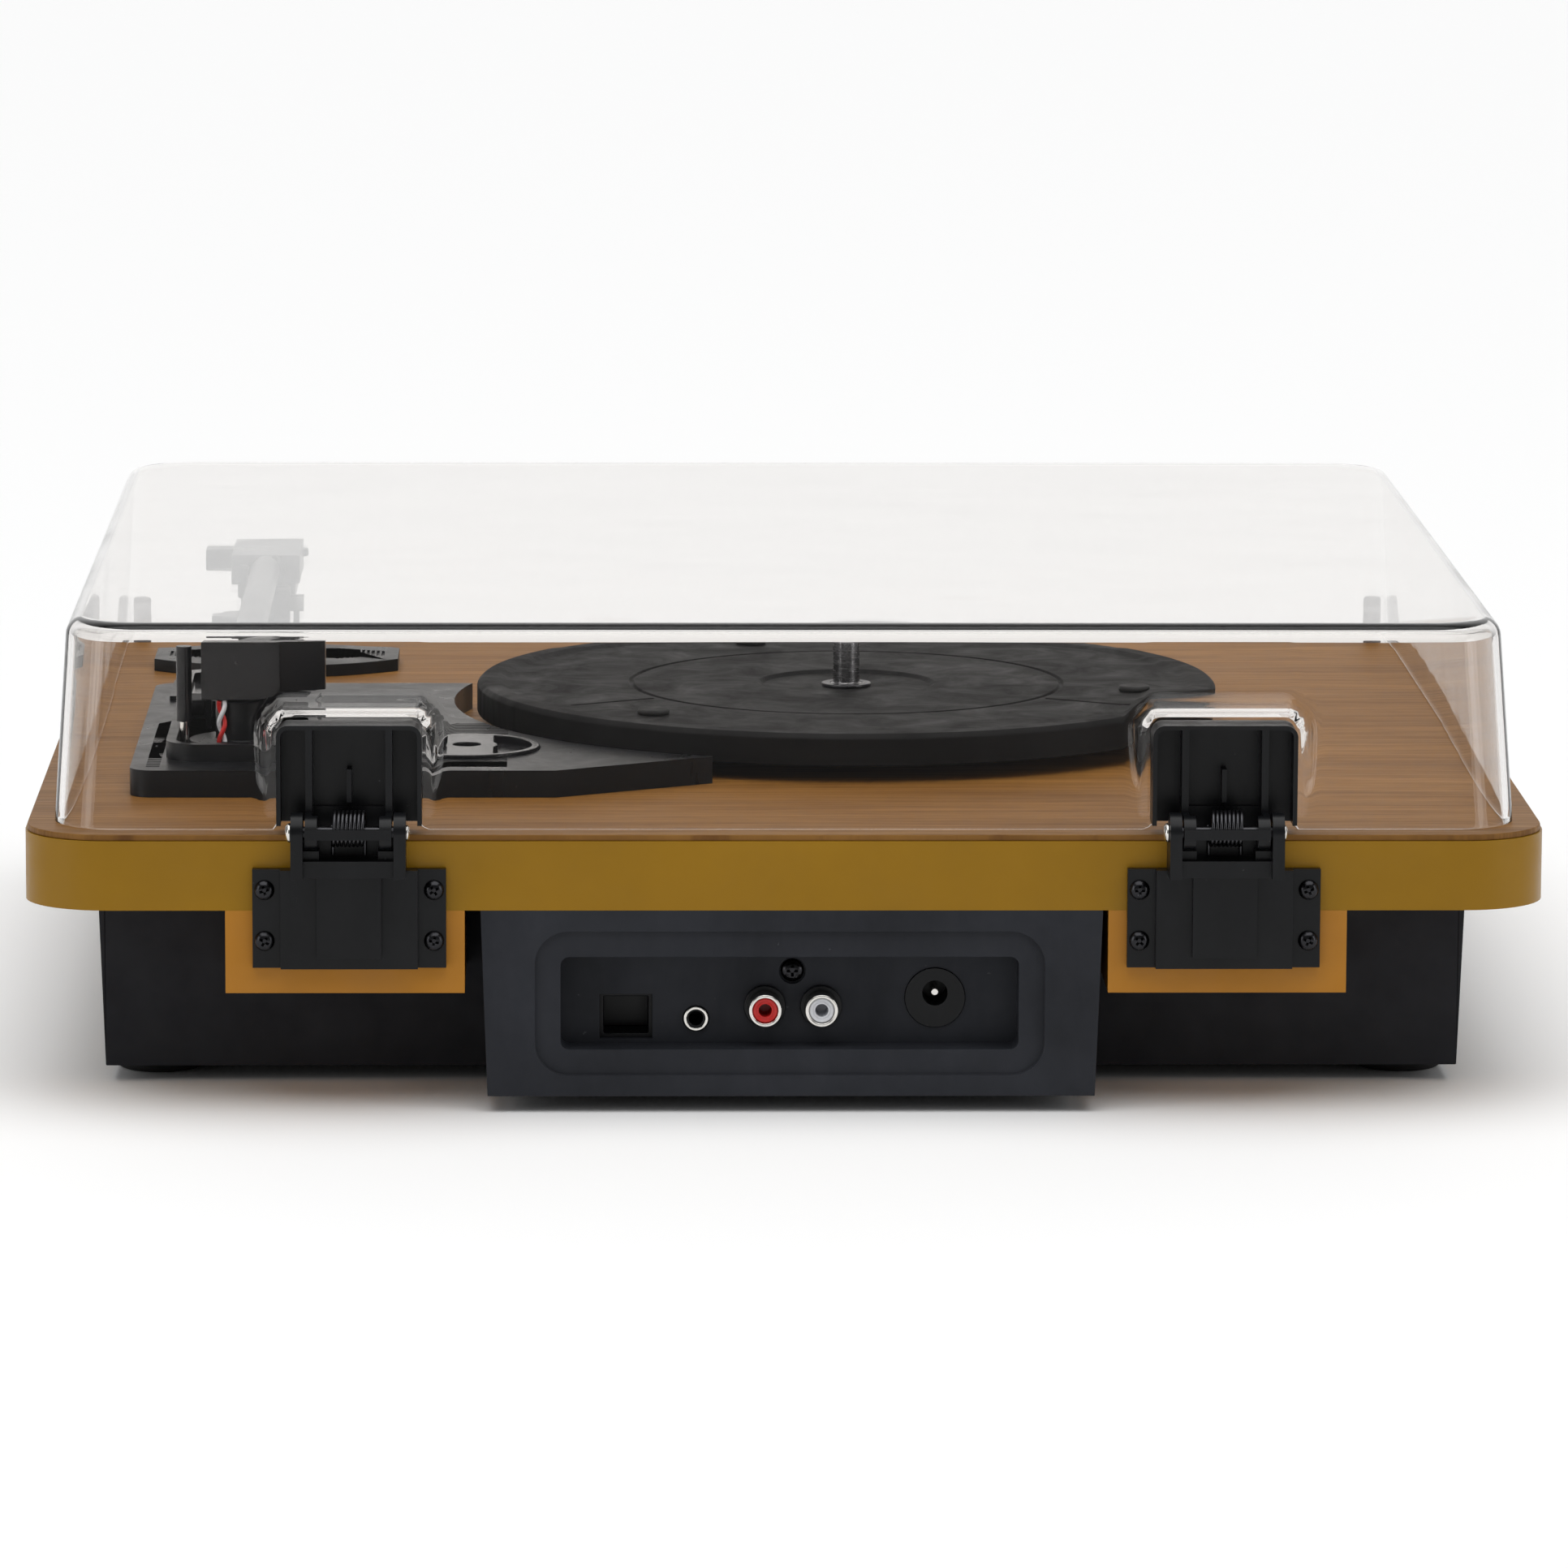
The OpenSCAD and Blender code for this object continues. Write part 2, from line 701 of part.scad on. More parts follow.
// The torsion springs that hold the cover up, wound as rings round the pin, with two legs
module hinge_springs() color([0.25, 0.25, 0.27]) for (side = [-1, 1])
    translate([side * hinge_x, spring_y, spring_z]) {
        for (i = [0:spring_turns - 1])
            translate([(i - (spring_turns - 1) / 2) * spring_pitch, 0, 0]) rotate([0, 90, 0])
                rotate_extrude($fn = 32) translate([spring_r, 0]) circle(spring_wire_r, $fn = 8);
        for (s = [-1, 1])
            translate([s * (spring_turns - 1) / 2 * spring_pitch, -spring_r, bridge_z - spring_z])
                cylinder(r = spring_wire_r, h = spring_z - bridge_z, $fn = 8);
    }

// The upright outline of a hinge leaf with its round upper corners, drawn in by a wall thickness
module leaf_outline(t, z0) {
    half = leaf_w / 2 - t;
    top = leaf_z1 - t;
    r = leaf_r - t;
    translate([-half, z0]) square([2 * half, top - r - z0]);
    translate([-half + r, z0]) square([2 * (half - r), top - z0]);
    for (s = [-1, 1]) translate([s * (half - r), top - r]) circle(r);
}

// The moving half of a hinge: an open tray whose two ribs run down into the knuckles
module hinge_leaf(side) color([0.07, 0.07, 0.08]) translate([side * hinge_x, 0, 0]) difference() {
    union() {
        difference() {
            translate([0, leaf_back, 0]) rotate([90, 0, 0]) linear_extrude(leaf_back - boss_back)
                leaf_outline(0, leaf_z0);
            translate([0, leaf_back + 1, 0]) rotate([90, 0, 0])
                linear_extrude(leaf_back + 1 - boss_back - leaf_base_t)
                    leaf_outline(leaf_wall, leaf_z0 - 1);
        }
        box([-short_rib_t / 2, cover_back, short_rib_z0], [short_rib_t / 2, leaf_back - 3, short_rib_z1]);
        // The foot of the tray, which comes down to just above the deck
        box([-leaf_rib_x, cover_back, pin_z - 1], [leaf_rib_x, cover_back + leaf_base_t + 1, leaf_z0 + 4]);
        for (s = [-1, 1]) translate([s * leaf_rib_x, 0, 0]) {
            box([-leaf_rib_t / 2, cover_back, leaf_z0], [leaf_rib_t / 2, leaf_back, leaf_z1 - 1]);
            box([-leaf_rib_t / 2, leaf_back - 4, leaf_z0 - 1],
                [leaf_rib_t / 2, pin_y, pin_z + knuckle_r]);
        }
        for (s = [-1, 1]) translate([s * knuckle_x, 0, 0]) {
            translate([0, pin_y, pin_z]) rod_x(knuckle_r, knuckle_w);
            box([-knuckle_w / 2, pin_y + 2, strip_z0], [knuckle_w / 2, pin_y + ear_r, strip_z1]);
        }
        box([-knuckle_x, pin_y + ear_r - strip_t, strip_z0], [knuckle_x, pin_y + ear_r, strip_z1]);
    }
    translate([0, pin_y, pin_z]) rod_x(pin_r + fit, leaf_w);
}

module hinge_leaf_left() hinge_leaf(-1);
module hinge_leaf_right() hinge_leaf(1);

// The outside of the cover, or its inside when it is drawn in by the wall thickness
module cover_solid(t, z0, z1) {
    top_half = cover_w / 2 - cover_side_draft - t;
    intersection() {
        tapered_wall(cover_w - 2 * t, 2 * top_half, cover_z0, cover_z1, cover_front, cover_back);
        translate([-cover_w / 2, 0, 0]) rotate([90, 0, 90]) linear_extrude(cover_w)
            polygon([
                [cover_front + t, cover_z0], [cover_back - t, cover_z0],
                [cover_back - t - cover_back_draft, cover_z1],
                [cover_front + t + cover_front_draft, cover_z1]
            ]);
        translate([0, cover_mid, z0]) linear_extrude(z1 - z0)
            round_rect(cover_w - 2 * t, cover_back - cover_front - 2 * t, cover_r - t);
    }
}

// The flat-backed bosses in the back wall that carry the hinge leaves
module cover_boss(side, t, z0) intersection() {
    translate([side * boss_mid, boss_back - t, 0]) rotate([90, 0, 0]) linear_extrude(20)
        translate([0, (z0 + boss_top - t) / 2])
            square([2 * (boss_half - t), boss_top - t - z0], center = true);
    translate([0, 0, z0]) cube([cover_w, cover_w * 2, cover_h], center = true);
}

module dust_cover() color([0.85, 0.88, 0.90, 0.35]) difference() {
    union() {
        cover_solid(0, cover_z0, cover_z1);
        for (side = [-1, 1]) cover_boss(side, 0, cover_z0);
    }
    cover_solid(cover_t, cover_z0 - 1, cover_z1 - cover_t);
    for (side = [-1, 1]) cover_boss(side, cover_t, cover_z0 - 1);
    for (side = [-1, 1]) translate([side * hinge_x, cover_back, 0])
        box([-notch_half, -cover_t - 2, cover_z0 - 1], [notch_half, 2, cover_z0 + notch_h]);
}

module cover_bumpers() color([0.35, 0.33, 0.34]) for (sx = [-1, 1])
    translate([sx * bumper_x, cover_front + bumper_inset, cover_z0]) cylinder(r = bumper_r, h = bumper_h);

// The fixed spindle: the shaft that the platter's hub turns on, then the thinner record pin
module spindle() color([0.70, 0.70, 0.72]) translate([platter_x, platter_y, 0]) {
    translate([0, 0, plinth_z - flange_t - 2]) cylinder(r = spindle_foot_r, h = 2);
    translate([0, 0, plinth_z - flange_t]) cylinder(r = bearing_r, h = record_z - plinth_z + flange_t);
    translate([0, 0, record_z]) cylinder(r = spindle_r, h = tip_z - record_z);
    translate([0, 0, tip_z]) cylinder(r1 = spindle_r, r2 = spindle_r - 1.2, h = tip_h);
}

module spindle_bush() color([0.72, 0.58, 0.30]) translate([platter_x, platter_y, 0]) difference() {
    union() {
        translate([0, 0, plinth_z]) cylinder(r = bush_r, h = plinth_t);
        translate([0, 0, deck_z]) cylinder(r = hub_r, h = 1);
        translate([0, 0, plinth_z - flange_t]) cylinder(r = bush_flange_r, h = flange_t);
    }
    translate([0, 0, plinth_z - 4]) cylinder(r = bearing_r, h = plinth_t + 6);
}

// The platter: a shallow dish upside down, with the belt ring and hub below
module platter() color([0.09, 0.09, 0.10]) translate([platter_x, platter_y, 0]) difference() {
    rotate_extrude($fn = fine) polygon([
        [hub_bore_r, deck_z + 1.4], [hub_r, deck_z + 1.4],
        [hub_r, platter_top - mat_drop - platter_skin],
        [belt_ring_r - 4, platter_top - mat_drop - platter_skin],
        [belt_ring_r - 4, deck_z + 1.6], [belt_ring_r, deck_z + 1.6],
        [belt_ring_r, platter_top - mat_drop - platter_skin],
        [platter_r - 3, platter_top - mat_drop - platter_skin],
        [platter_r - 3, platter_low], [platter_r, platter_low],
        [platter_r, platter_top - 1.2], [platter_r - 1.2, platter_top],
        [rim_in + 2, platter_top], [rim_in, platter_top - mat_drop],
        [ring_r + groove_w, platter_top - mat_drop],
        [ring_r + groove_w, platter_top - mat_drop - 0.7],
        [ring_r, platter_top - mat_drop - 0.7], [ring_r, platter_top - mat_drop],
        [label_r - 27.4 + 1, platter_top - mat_drop], [label_r - 27.4, platter_top - mat_drop - 1],
        [hub_bore_r, platter_top - mat_drop - 1]
    ]);
    for (i = [0:slot_count - 1]) rotate([0, 0, 30 + i * 360 / slot_count])
        box([ring_r + 3, -0.6, platter_top - mat_drop - 0.7], [rim_in - 6, 0.6, platter_top]);
}

module platter_pads() color([0.05, 0.05, 0.05]) translate([platter_x, platter_y, 0])
    for (i = [0:slot_count - 1]) rotate([0, 0, 48 + i * 360 / slot_count])
        translate([pad_r, 0, platter_top - mat_drop]) cylinder(r = pad_dia / 2, h = mat_drop + 0.6);

module hub_washer() color([0.30, 0.30, 0.32]) translate([platter_x, platter_y, 0]) difference() {
    translate([0, 0, platter_top - mat_drop - 1]) cylinder(r = washer_r, h = 0.9);
    translate([0, 0, platter_top - mat_drop - 2]) cylinder(r = hub_bore_r, h = 3);
}

module motor() color([0.60, 0.60, 0.62]) translate([motor_x, motor_y, 0]) difference() {
    union() {
        translate([0, 0, plinth_z - flange_t - motor_h]) cylinder(r = motor_r, h = motor_h);
        translate([0, 0, plinth_z - flange_t]) cylinder(r = motor_r + 6, h = flange_t);
        translate([0, 0, plinth_z - 0.5]) cylinder(r = motor_boss_r, h = 5);
    }
    translate([0, 0, plinth_z - flange_t - motor_h + 2])
        cylinder(r = motor_shaft_r + fit, h = motor_h + 10);
}

module motor_pulley() color([0.75, 0.62, 0.32]) translate([motor_x, motor_y, 0]) {
    translate([0, 0, plinth_z - motor_h]) cylinder(r = motor_shaft_r, h = motor_h + plinth_t + 5);
    translate([0, 0, deck_z + 1.2]) cylinder(r = pulley_r, h = 6.8);
}

// The flat rubber belt, a loop round the platter ring and the pulley
module belt_outline(extra) hull() {
    translate([platter_x, platter_y]) circle(belt_ring_r + gap + extra);
    translate([motor_x, motor_y]) circle(pulley_r + gap + extra, $fn = 32);
}

module drive_belt() color([0.08, 0.08, 0.08]) translate([0, 0, belt_z0])
    linear_extrude(belt_z1 - belt_z0) difference() {
        belt_outline(belt_t);
        belt_outline(0);
    }

// Points of a round outline corner, from one angle to the next
function arc_points(cx, cy, r, a0, a1, steps) =
    [for (i = [0:steps]) let (a = a0 + (a1 - a0) * i / steps) [cx + r * cos(a), cy + r * sin(a)]];

module plate_outline() difference() {
    polygon(concat(
        arc_points(plate_x1 - plate_corner, plate_y0 + plate_corner, plate_corner, -90, 0, 8),
        arc_points(plate_x1 - plate_corner, plate_y1 - plate_corner, plate_corner, 0, 90, 8),
        [[plate_bend_x, plate_y1], [plate_tip_x, plate_tip_y], [plate_tip_x, platter_y],
            [plate_front_x, plate_y0]]
    ));
    translate([platter_x, platter_y]) circle(plate_arc_r, $fn = fine);
}

module control_plate() color([0.12, 0.12, 0.13]) difference() {
    union() {
        translate([0, 0, deck_z]) linear_extrude(plate_t) plate_outline();
        box([switch_x0, switch_y0, deck_z], [switch_x1, switch_y1, switch_z]);
        translate([(well_x0 + well_x1) / 2, (well_y0 + well_y1) / 2, plate_z - eps])
            linear_extrude(well_h) difference() {
                round_rect(well_x1 - well_x0, well_y1 - well_y0, well_r);
                round_rect(well_x1 - well_x0 - 2 * well_wall, well_y1 - well_y0 - 2 * well_wall,
                    well_r - well_wall);
            }
        // Two cheeks and the pin that carry the cue lever
        for (x = [lever_x0 - gap - cheek_t, lever_x1 + gap])
            box([x, lever_y - 3, plate_z - eps], [x + cheek_t, lever_y + 3, lever_z + 3]);
        translate([(lever_x0 + lever_x1) / 2, lever_y, lever_z])
            rod_x(lever_pin_r, lever_x1 - lever_x0 + 1);
    }
    // Grooves of the ribbed field
    for (i = [0:rib_count - 1], span = [[field_x0, well_x0 - 1], [well_x1 + 1, field_x1]])
        box([span[0], field_y0 + i * rib_pitch, plate_z - field_d],
            [span[1], field_y0 + (i + 0.5) * rib_pitch, plate_z + 1]);
    translate([adapter_x, adapter_y, adapter_floor]) cylinder(r = adapter_r + gap, h = 10);
    translate([arm_x, arm_y, deck_z - 1]) cylinder(r = arm_column_r, h = plate_t + 2);
    translate([lift_x, lift_y, deck_z - 1]) cylinder(r = lift_rod_r + fit, h = plate_t + 2);
    for (x = [speed_x, stop_x]) {
        box([x - 1.5, (switch_y0 + switch_y1 - switch_slot) / 2, deck_z - 1],
            [x + 1.5, (switch_y0 + switch_y1 + switch_slot) / 2, switch_z + 1]);
    }
}

// The fixed column that the tonearm turret turns in
module arm_base() color([0.11, 0.11, 0.12]) translate([arm_x, arm_y, 0]) difference() {
    union() {
        translate([0, 0, plinth_z]) cylinder(r = arm_column_r, h = plate_z - plinth_z);
        translate([0, 0, plate_z]) cylinder(r = arm_flange_r, h = 2);
        translate([0, 0, plate_z]) cylinder(r = column_r, h = column_top - plate_z);
    }
    translate([0, 0, plinth_z + 6]) cylinder(r = turret_shaft_r + fit, h = 80);
}

module arm_turret() color([0.07, 0.07, 0.08]) translate([arm_x, arm_y, 0]) difference() {
    union() {
        translate([0, 0, turret_z0]) linear_extrude(turret_z1 - turret_z0) polygon([
            [turret_right, turret_back], [turret_shoulder, turret_back],
            [turret_left, turret_back - 11.5], [turret_left, turret_front],
            [turret_right, turret_front]
        ]);
        translate([0, 0, plinth_z + 8]) cylinder(r = turret_shaft_r, h = turret_z0 - plinth_z - 7);
    }
    box([-fork_half, turret_front - 1, fork_z0], [fork_half, fork_back, fork_z1]);
    translate([0, 0, arm_z]) rod_x(pivot_pin_r, 19);
}

module arm_pivot_pin() color([0.75, 0.75, 0.75])
    translate([arm_x, arm_y, arm_z]) rod_x(pivot_pin_r, 19);

module tonearm() color([0.10, 0.10, 0.11]) difference() {
    union() {
        box([arm_x - arm_block_half, arm_y - 19, arm_z - 4.6],
            [arm_x + arm_block_half, arm_y + arm_block_back, arm_z + 4.6]);
        translate([arm_x, 0, arm_z]) rod_y(arm_r, shell_y1, arm_y - 18);
    }
    translate([arm_x, arm_y, arm_z]) rod_x(pivot_pin_r + fit, 20);
}

module headshell() color([0.09, 0.09, 0.10]) {
    difference() {
        box([arm_x - shell_half, shell_y0, shell_z0], [arm_x + shell_half, shell_y1, shell_z1]);
        box([arm_x - shell_half + shell_wall, shell_y0 + shell_wall, shell_z0 - 1],
            [arm_x + shell_half - shell_wall, shell_y1 - 4, shell_z1 - shell_top_t]);
    }
    box([arm_x + shell_half, shell_y0 + 3, finger_z0],
        [arm_x + shell_half + finger_w, shell_y0 + 13, finger_z1]);
    box([arm_x - shell_half - 1.5, shell_y0 + 4, shell_z1 - 4],
        [arm_x - shell_half, shell_y0 + 9, shell_z1 - 2]);
}

module cartridge() color([0.15, 0.15, 0.16])
    box([arm_x - cartridge_half, shell_y0 + 3, cartridge_z0],
        [arm_x + cartridge_half, shell_y1 - 8, shell_z1 - shell_top_t]);

module stylus() color([0.70, 0.15, 0.12]) {
    box([arm_x - 2.5, shell_y0 + 4, cartridge_z0 - 2], [arm_x + 2.5, shell_y1 - 10, cartridge_z0]);
    translate([arm_x, stylus_y, stylus_z]) cylinder(r1 = 0.2, r2 = 0.9, h = cartridge_z0 - stylus_z - 1);
}

// The two signal leads that drop from the turret into the column
module arm_wires() for (i = [0, 1]) color(i == 0 ? [0.75, 0.10, 0.10] : [0.85, 0.85, 0.85])
    translate([arm_x + 4.4 + i * 1.5, arm_y + 7.2 - i, plate_z + 2])
        cylinder(r = 0.6, h = turret_z0 - plate_z - 2 - gap, $fn = 16);

module lift_rod() color([0.85, 0.85, 0.85])
    translate([lift_x, lift_y, plinth_z + 2]) cylinder(r = lift_rod_r, h = lift_sleeve_z0 - plinth_z - 2);

// The sleeve on the lift rod and the curved bar that passes under the tonearm
module lift_platform() color([0.08, 0.08, 0.09]) {
    translate([lift_x, lift_y, lift_sleeve_z0])
        cylinder(r = lift_sleeve_r, h = turret_z1 - 2 - lift_sleeve_z0);
    translate([arm_x, arm_y, lift_bar_z1 - lift_bar_t]) linear_extrude(lift_bar_t) {
        intersection() {
            difference() {
                circle(lift_ring_out);
                circle(lift_ring_in);
            }
            polygon([[0, 0], [30, -33], [0, -45], [-33, -26]]);
        }
        translate([lift_x - arm_x - lift_sleeve_r, -19])
            square([2 * lift_sleeve_r, lift_y - arm_y + 19]);
    }
}

module cue_lever() color([0.08, 0.08, 0.09]) difference() {
    union() {
        translate([(lever_x0 + lever_x1) / 2, lever_y, lever_z]) rod_x(3, lever_x1 - lever_x0);
        box([lever_x0, lever_y - lever_len, lever_z - 1], [lever_x1, lever_y, lever_z + 1.6]);
        box([lever_x0, lever_y - lever_len, lever_z - 1], [lever_x1, lever_y - lever_len + 7, lever_z + 3]);
    }
    translate([(lever_x0 + lever_x1) / 2, lever_y, lever_z]) rod_x(lever_pin_r + fit, 10);
}

// The oval plate that the tonearm rest stands on
module rest_plate() color([0.12, 0.12, 0.13]) difference() {
    translate([rest_x, rest_y, deck_z]) linear_extrude(rest_t) intersection() {
        translate([0, 26]) circle(50, $fn = fine);
        translate([0, -26]) circle(50, $fn = fine);
        square([2 * rest_half_w, 2 * rest_half_d], center = true);
    }
    for (i = [0:9], sx = [-1, 1]) translate([rest_x + sx * (17 + i * 1.4), rest_y, rest_z])
        cube([0.7, 20 - i * 1.2, 1.2], center = true);
}

// The pillar and cradle that hold the parked tonearm
module arm_rest() color([0.10, 0.10, 0.11]) {
    box([post_x0, post_y0, rest_z], [post_x1, post_y1, post_z]);
    box([post_x0, post_y0, post_z - 1], [post_x0 + post_w, post_y1, cradle_z]);
    box([prong_x, post_y0, post_z - 1], [prong_x + prong_w, post_y1, arm_z + 2]);
    box([post_x0, post_y0, cradle_z - 2], [prong_x + prong_w, post_y1, cradle_z]);
    for (y = [post_y0, post_y1 - clip_side + gap])
        box([clip_x - 2, y, clip_z - 2], [post_x0 + 1, y + clip_side - gap, clip_z + 2]);
    translate([clip_x, 0, clip_z]) rod_y(clip_pin_r, post_y0, post_y1);
}

// The clip that swings up over the parked tonearm; it hangs open beside the pillar
module rest_clip() color([0.08, 0.08, 0.09]) translate([clip_x, 0, clip_z]) difference() {
    union() {
        rod_y(clip_barrel_r, post_y0 + clip_side, post_y1 - clip_side);
        box([-clip_half, post_y0 + clip_side, -clip_len], [clip_half, post_y1 - clip_side, 0]);
        box([-clip_hook, post_y0 + clip_side, -clip_len],
            [clip_half, post_y1 - clip_side, -clip_len + 2 * clip_half]);
    }
    rod_y(clip_pin_r + fit, post_y0, post_y1);
}

// The insert for records with a large centre hole
module adapter_45() color([0.05, 0.05, 0.06])
translate([adapter_x, adapter_y, adapter_floor + 0.1]) difference() {
    cylinder(r = adapter_r, h = adapter_t);
    translate([0, 0, -1]) cylinder(r = spindle_r + 0.1, h = adapter_t + 2);
    for (s = [-1, 1]) translate([0, 0, 1]) intersection() {
        difference() {
            cylinder(r = adapter_r - 2, h = adapter_t);
            cylinder(r = 8, h = adapter_t);
        }
        translate([s * 16, 0, 0]) cube([18, 40, 20], center = true);
    }
}

module slider(x) {
    y = (switch_y0 + switch_y1 - switch_slot) / 2 + 1;
    box([x - switch_w / 2, y, switch_z + gap],
        [x + switch_w / 2, y + switch_len, switch_z + slider_top]);
    box([x - 1.2, y + 1, deck_z - 4], [x + 1.2, y + switch_len - 1, switch_z + 1]);
}

module speed_selector() color([0.20, 0.20, 0.21]) slider(speed_x);
module autostop_switch() color([0.20, 0.20, 0.21]) slider(stop_x);

module speaker_grilles() color([0.15, 0.15, 0.16]) for (sx = [-1, 1])
    translate([sx * speaker_x, cabinet_front, front_z]) difference() {
        translate([0, 1.6, 0]) cube([grille_w - 0.1, 3.2, grille_h - 0.1], center = true);
        for (i = [0:grille_slots - 1])
            translate([0, 0, (i - (grille_slots - 1) / 2) * 4]) cube([grille_w - 8, 10, 2], center = true);
    }

module speakers() color([0.20, 0.20, 0.22]) for (sx = [-1, 1])
    translate([sx * speaker_x, cabinet_front + cabinet_wall, front_z]) {
        difference() {
            rod_y(speaker_r, 0, speaker_d);
            translate([0, -1, 0]) rotate([-90, 0, 0])
                cylinder(r1 = speaker_r - 2, r2 = 6, h = speaker_d - 3);
        }
        rod_y(magnet_r, speaker_d, speaker_d + magnet_d);
    }

module volume_pot() color([0.45, 0.45, 0.47]) translate([0, 0, front_z]) difference() {
    union() {
        box([-pot_half, cabinet_front + cabinet_wall, -pot_half],
            [pot_half, cabinet_front + cabinet_wall + pot_half, pot_half]);
        rod_y(shaft_r + 1.5, cabinet_front, cabinet_front + cabinet_wall);
    }
    rod_y(shaft_r + fit, cabinet_front - 1, cabinet_front + cabinet_wall + 5);
}

module volume_knob() color([0.10, 0.10, 0.11]) translate([0, 0, front_z]) difference() {
    union() {
        rod_y(knob_r, cabinet_front - knob_stand - knob_len, cabinet_front - knob_stand);
        rod_y(shaft_r, cabinet_front - 2, cabinet_front + cabinet_wall + 4);
    }
    for (i = [0:flute_count - 1]) rotate([0, i * 360 / flute_count, 0])
        box([knob_r - 0.5, cabinet_front - knob_len - 2, -0.4], [knob_r + 1, cabinet_front - 3, 0.4]);
    box([-0.6, cabinet_front - knob_len - 2, 2],
        [0.6, cabinet_front - knob_stand - knob_len + 0.6, knob_r]);
}

module headphone_jack() color([0.12, 0.12, 0.13]) translate([phones_x, 0, front_z]) difference() {
    union() {
        rod_y(phones_r, cabinet_front - 0.8, cabinet_front + cabinet_wall);
        box([-phones_half, cabinet_front + cabinet_wall, -phones_half],
            [phones_half, cabinet_front + cabinet_wall + 13, phones_half]);
    }
    rod_y(jack_bore / 2, cabinet_front - 2, cabinet_front + cabinet_wall + 11);
}

module amplifier_board() color([0.10, 0.35, 0.18]) {
    box([-board_half, board_y0, board_z], [board_half, board_y1, board_z + board_t]);
    for (sx = [-1, 1], y = [board_y0 + 5, board_y1 - 5])
        translate([sx * (board_half - 5), y, foot_h + panel_t])
            cylinder(r = 2.5, h = board_z - foot_h - panel_t);
}

plinth();
deck_veneer();
cabinet();
bottom_panel();
rubber_feet();
case_screws();
connector_box();
socket_panel();
phono_sockets();
phono_insert_red();
phono_insert_white();
phono_collars();
aux_jack();
aux_jack_ring();
usb_socket();
power_socket();
power_pin();
panel_screw();
hinge_blocks();
hinge_bracket_left();
hinge_bracket_right();
hinge_screws();
hinge_pins();
hinge_springs();
hinge_leaf_left();
hinge_leaf_right();
dust_cover();
cover_bumpers();
spindle();
spindle_bush();
platter();
platter_pads();
hub_washer();
motor();
motor_pulley();
drive_belt();
control_plate();
arm_base();
arm_turret();
arm_pivot_pin();
tonearm();
headshell();
cartridge();
stylus();
arm_wires();
lift_rod();
lift_platform();
cue_lever();
rest_plate();
arm_rest();
rest_clip();
adapter_45();
speed_selector();
autostop_switch();
speaker_grilles();
speakers();
volume_pot();
volume_knob();
headphone_jack();
amplifier_board();
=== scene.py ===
import json
from math import cos, hypot, pi, radians, sin

import bmesh
import bpy
from mathutils import Matrix, Vector


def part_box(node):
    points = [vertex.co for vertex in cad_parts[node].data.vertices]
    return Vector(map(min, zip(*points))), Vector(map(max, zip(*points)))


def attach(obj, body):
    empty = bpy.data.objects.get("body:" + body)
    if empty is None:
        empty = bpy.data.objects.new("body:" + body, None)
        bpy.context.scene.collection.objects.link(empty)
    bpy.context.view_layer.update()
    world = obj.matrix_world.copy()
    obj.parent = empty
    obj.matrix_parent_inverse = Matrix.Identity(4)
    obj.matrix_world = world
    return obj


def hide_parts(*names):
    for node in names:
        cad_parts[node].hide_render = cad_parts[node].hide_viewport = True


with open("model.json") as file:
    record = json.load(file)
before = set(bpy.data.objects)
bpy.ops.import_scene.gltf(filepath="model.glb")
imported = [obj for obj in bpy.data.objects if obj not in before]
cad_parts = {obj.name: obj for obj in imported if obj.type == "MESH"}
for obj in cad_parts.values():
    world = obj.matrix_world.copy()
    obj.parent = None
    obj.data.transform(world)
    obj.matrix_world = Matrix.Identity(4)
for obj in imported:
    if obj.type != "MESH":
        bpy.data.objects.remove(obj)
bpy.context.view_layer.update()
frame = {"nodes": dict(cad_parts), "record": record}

MM = 0.001
nodes = frame["nodes"]
body_of_node = {
    node: body
    for body, members in frame["record"]["behaviour"]["bodies"].items()
    for node in members
}
slot_of_node = {part["node"]: part["material_slot"] for part in frame["record"]["subparts"]}


# ---------------------------------------------------------------- stage, lights and camera

DECK_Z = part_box("deck_veneer")[1].z
BACK_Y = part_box("plinth")[1].y

SURROUND = 0.19                         # grey of the room on most sides
BACKDROP = 0.97                         # grey of the bright backdrop beyond the player
BACKDROP_TOWARDS = (0, -0.975, 0.22)
BACKDROP_EDGE, BACKDROP_FULL = 0.62, 0.93      # cosines off the backdrop's middle
FLOOR_HALF = 12
FLOOR_DROP = 0.0002                     # keeps the floor clear of the feet
FLOOR_GREY = 0.93
FLOOR_ROUGH = 0.9
FLOOR_GLOSS = 0.1
OVERHEAD_POWER = 2.42
OVERHEAD_SPREAD = radians(75)
OVERHEAD_TILT = radians(-8)
BOX_ASIDE = 1.5                         # a soft box on each side, behind and above the player
BOX_BEHIND = 0.9
BOX_UP = 0.5
BOX_TARGET = (0, 0.1, 0.08)
BOX_SIZE = (0.5, 1.0)
BOX_POWER = 4.6

SENSOR = 36
LENS = 201.3                            # millimetres, as the sensor
VIEW_LIMIT = 50
CAMERA_ASIDE = 0.053
CAMERA_BEHIND = 2.146                   # behind the back edge of the plinth
CAMERA_UP = 0.4258
CAMERA_DOWN = 9.08                      # degrees below level
CAMERA_PAN = -1.375                     # degrees to the side


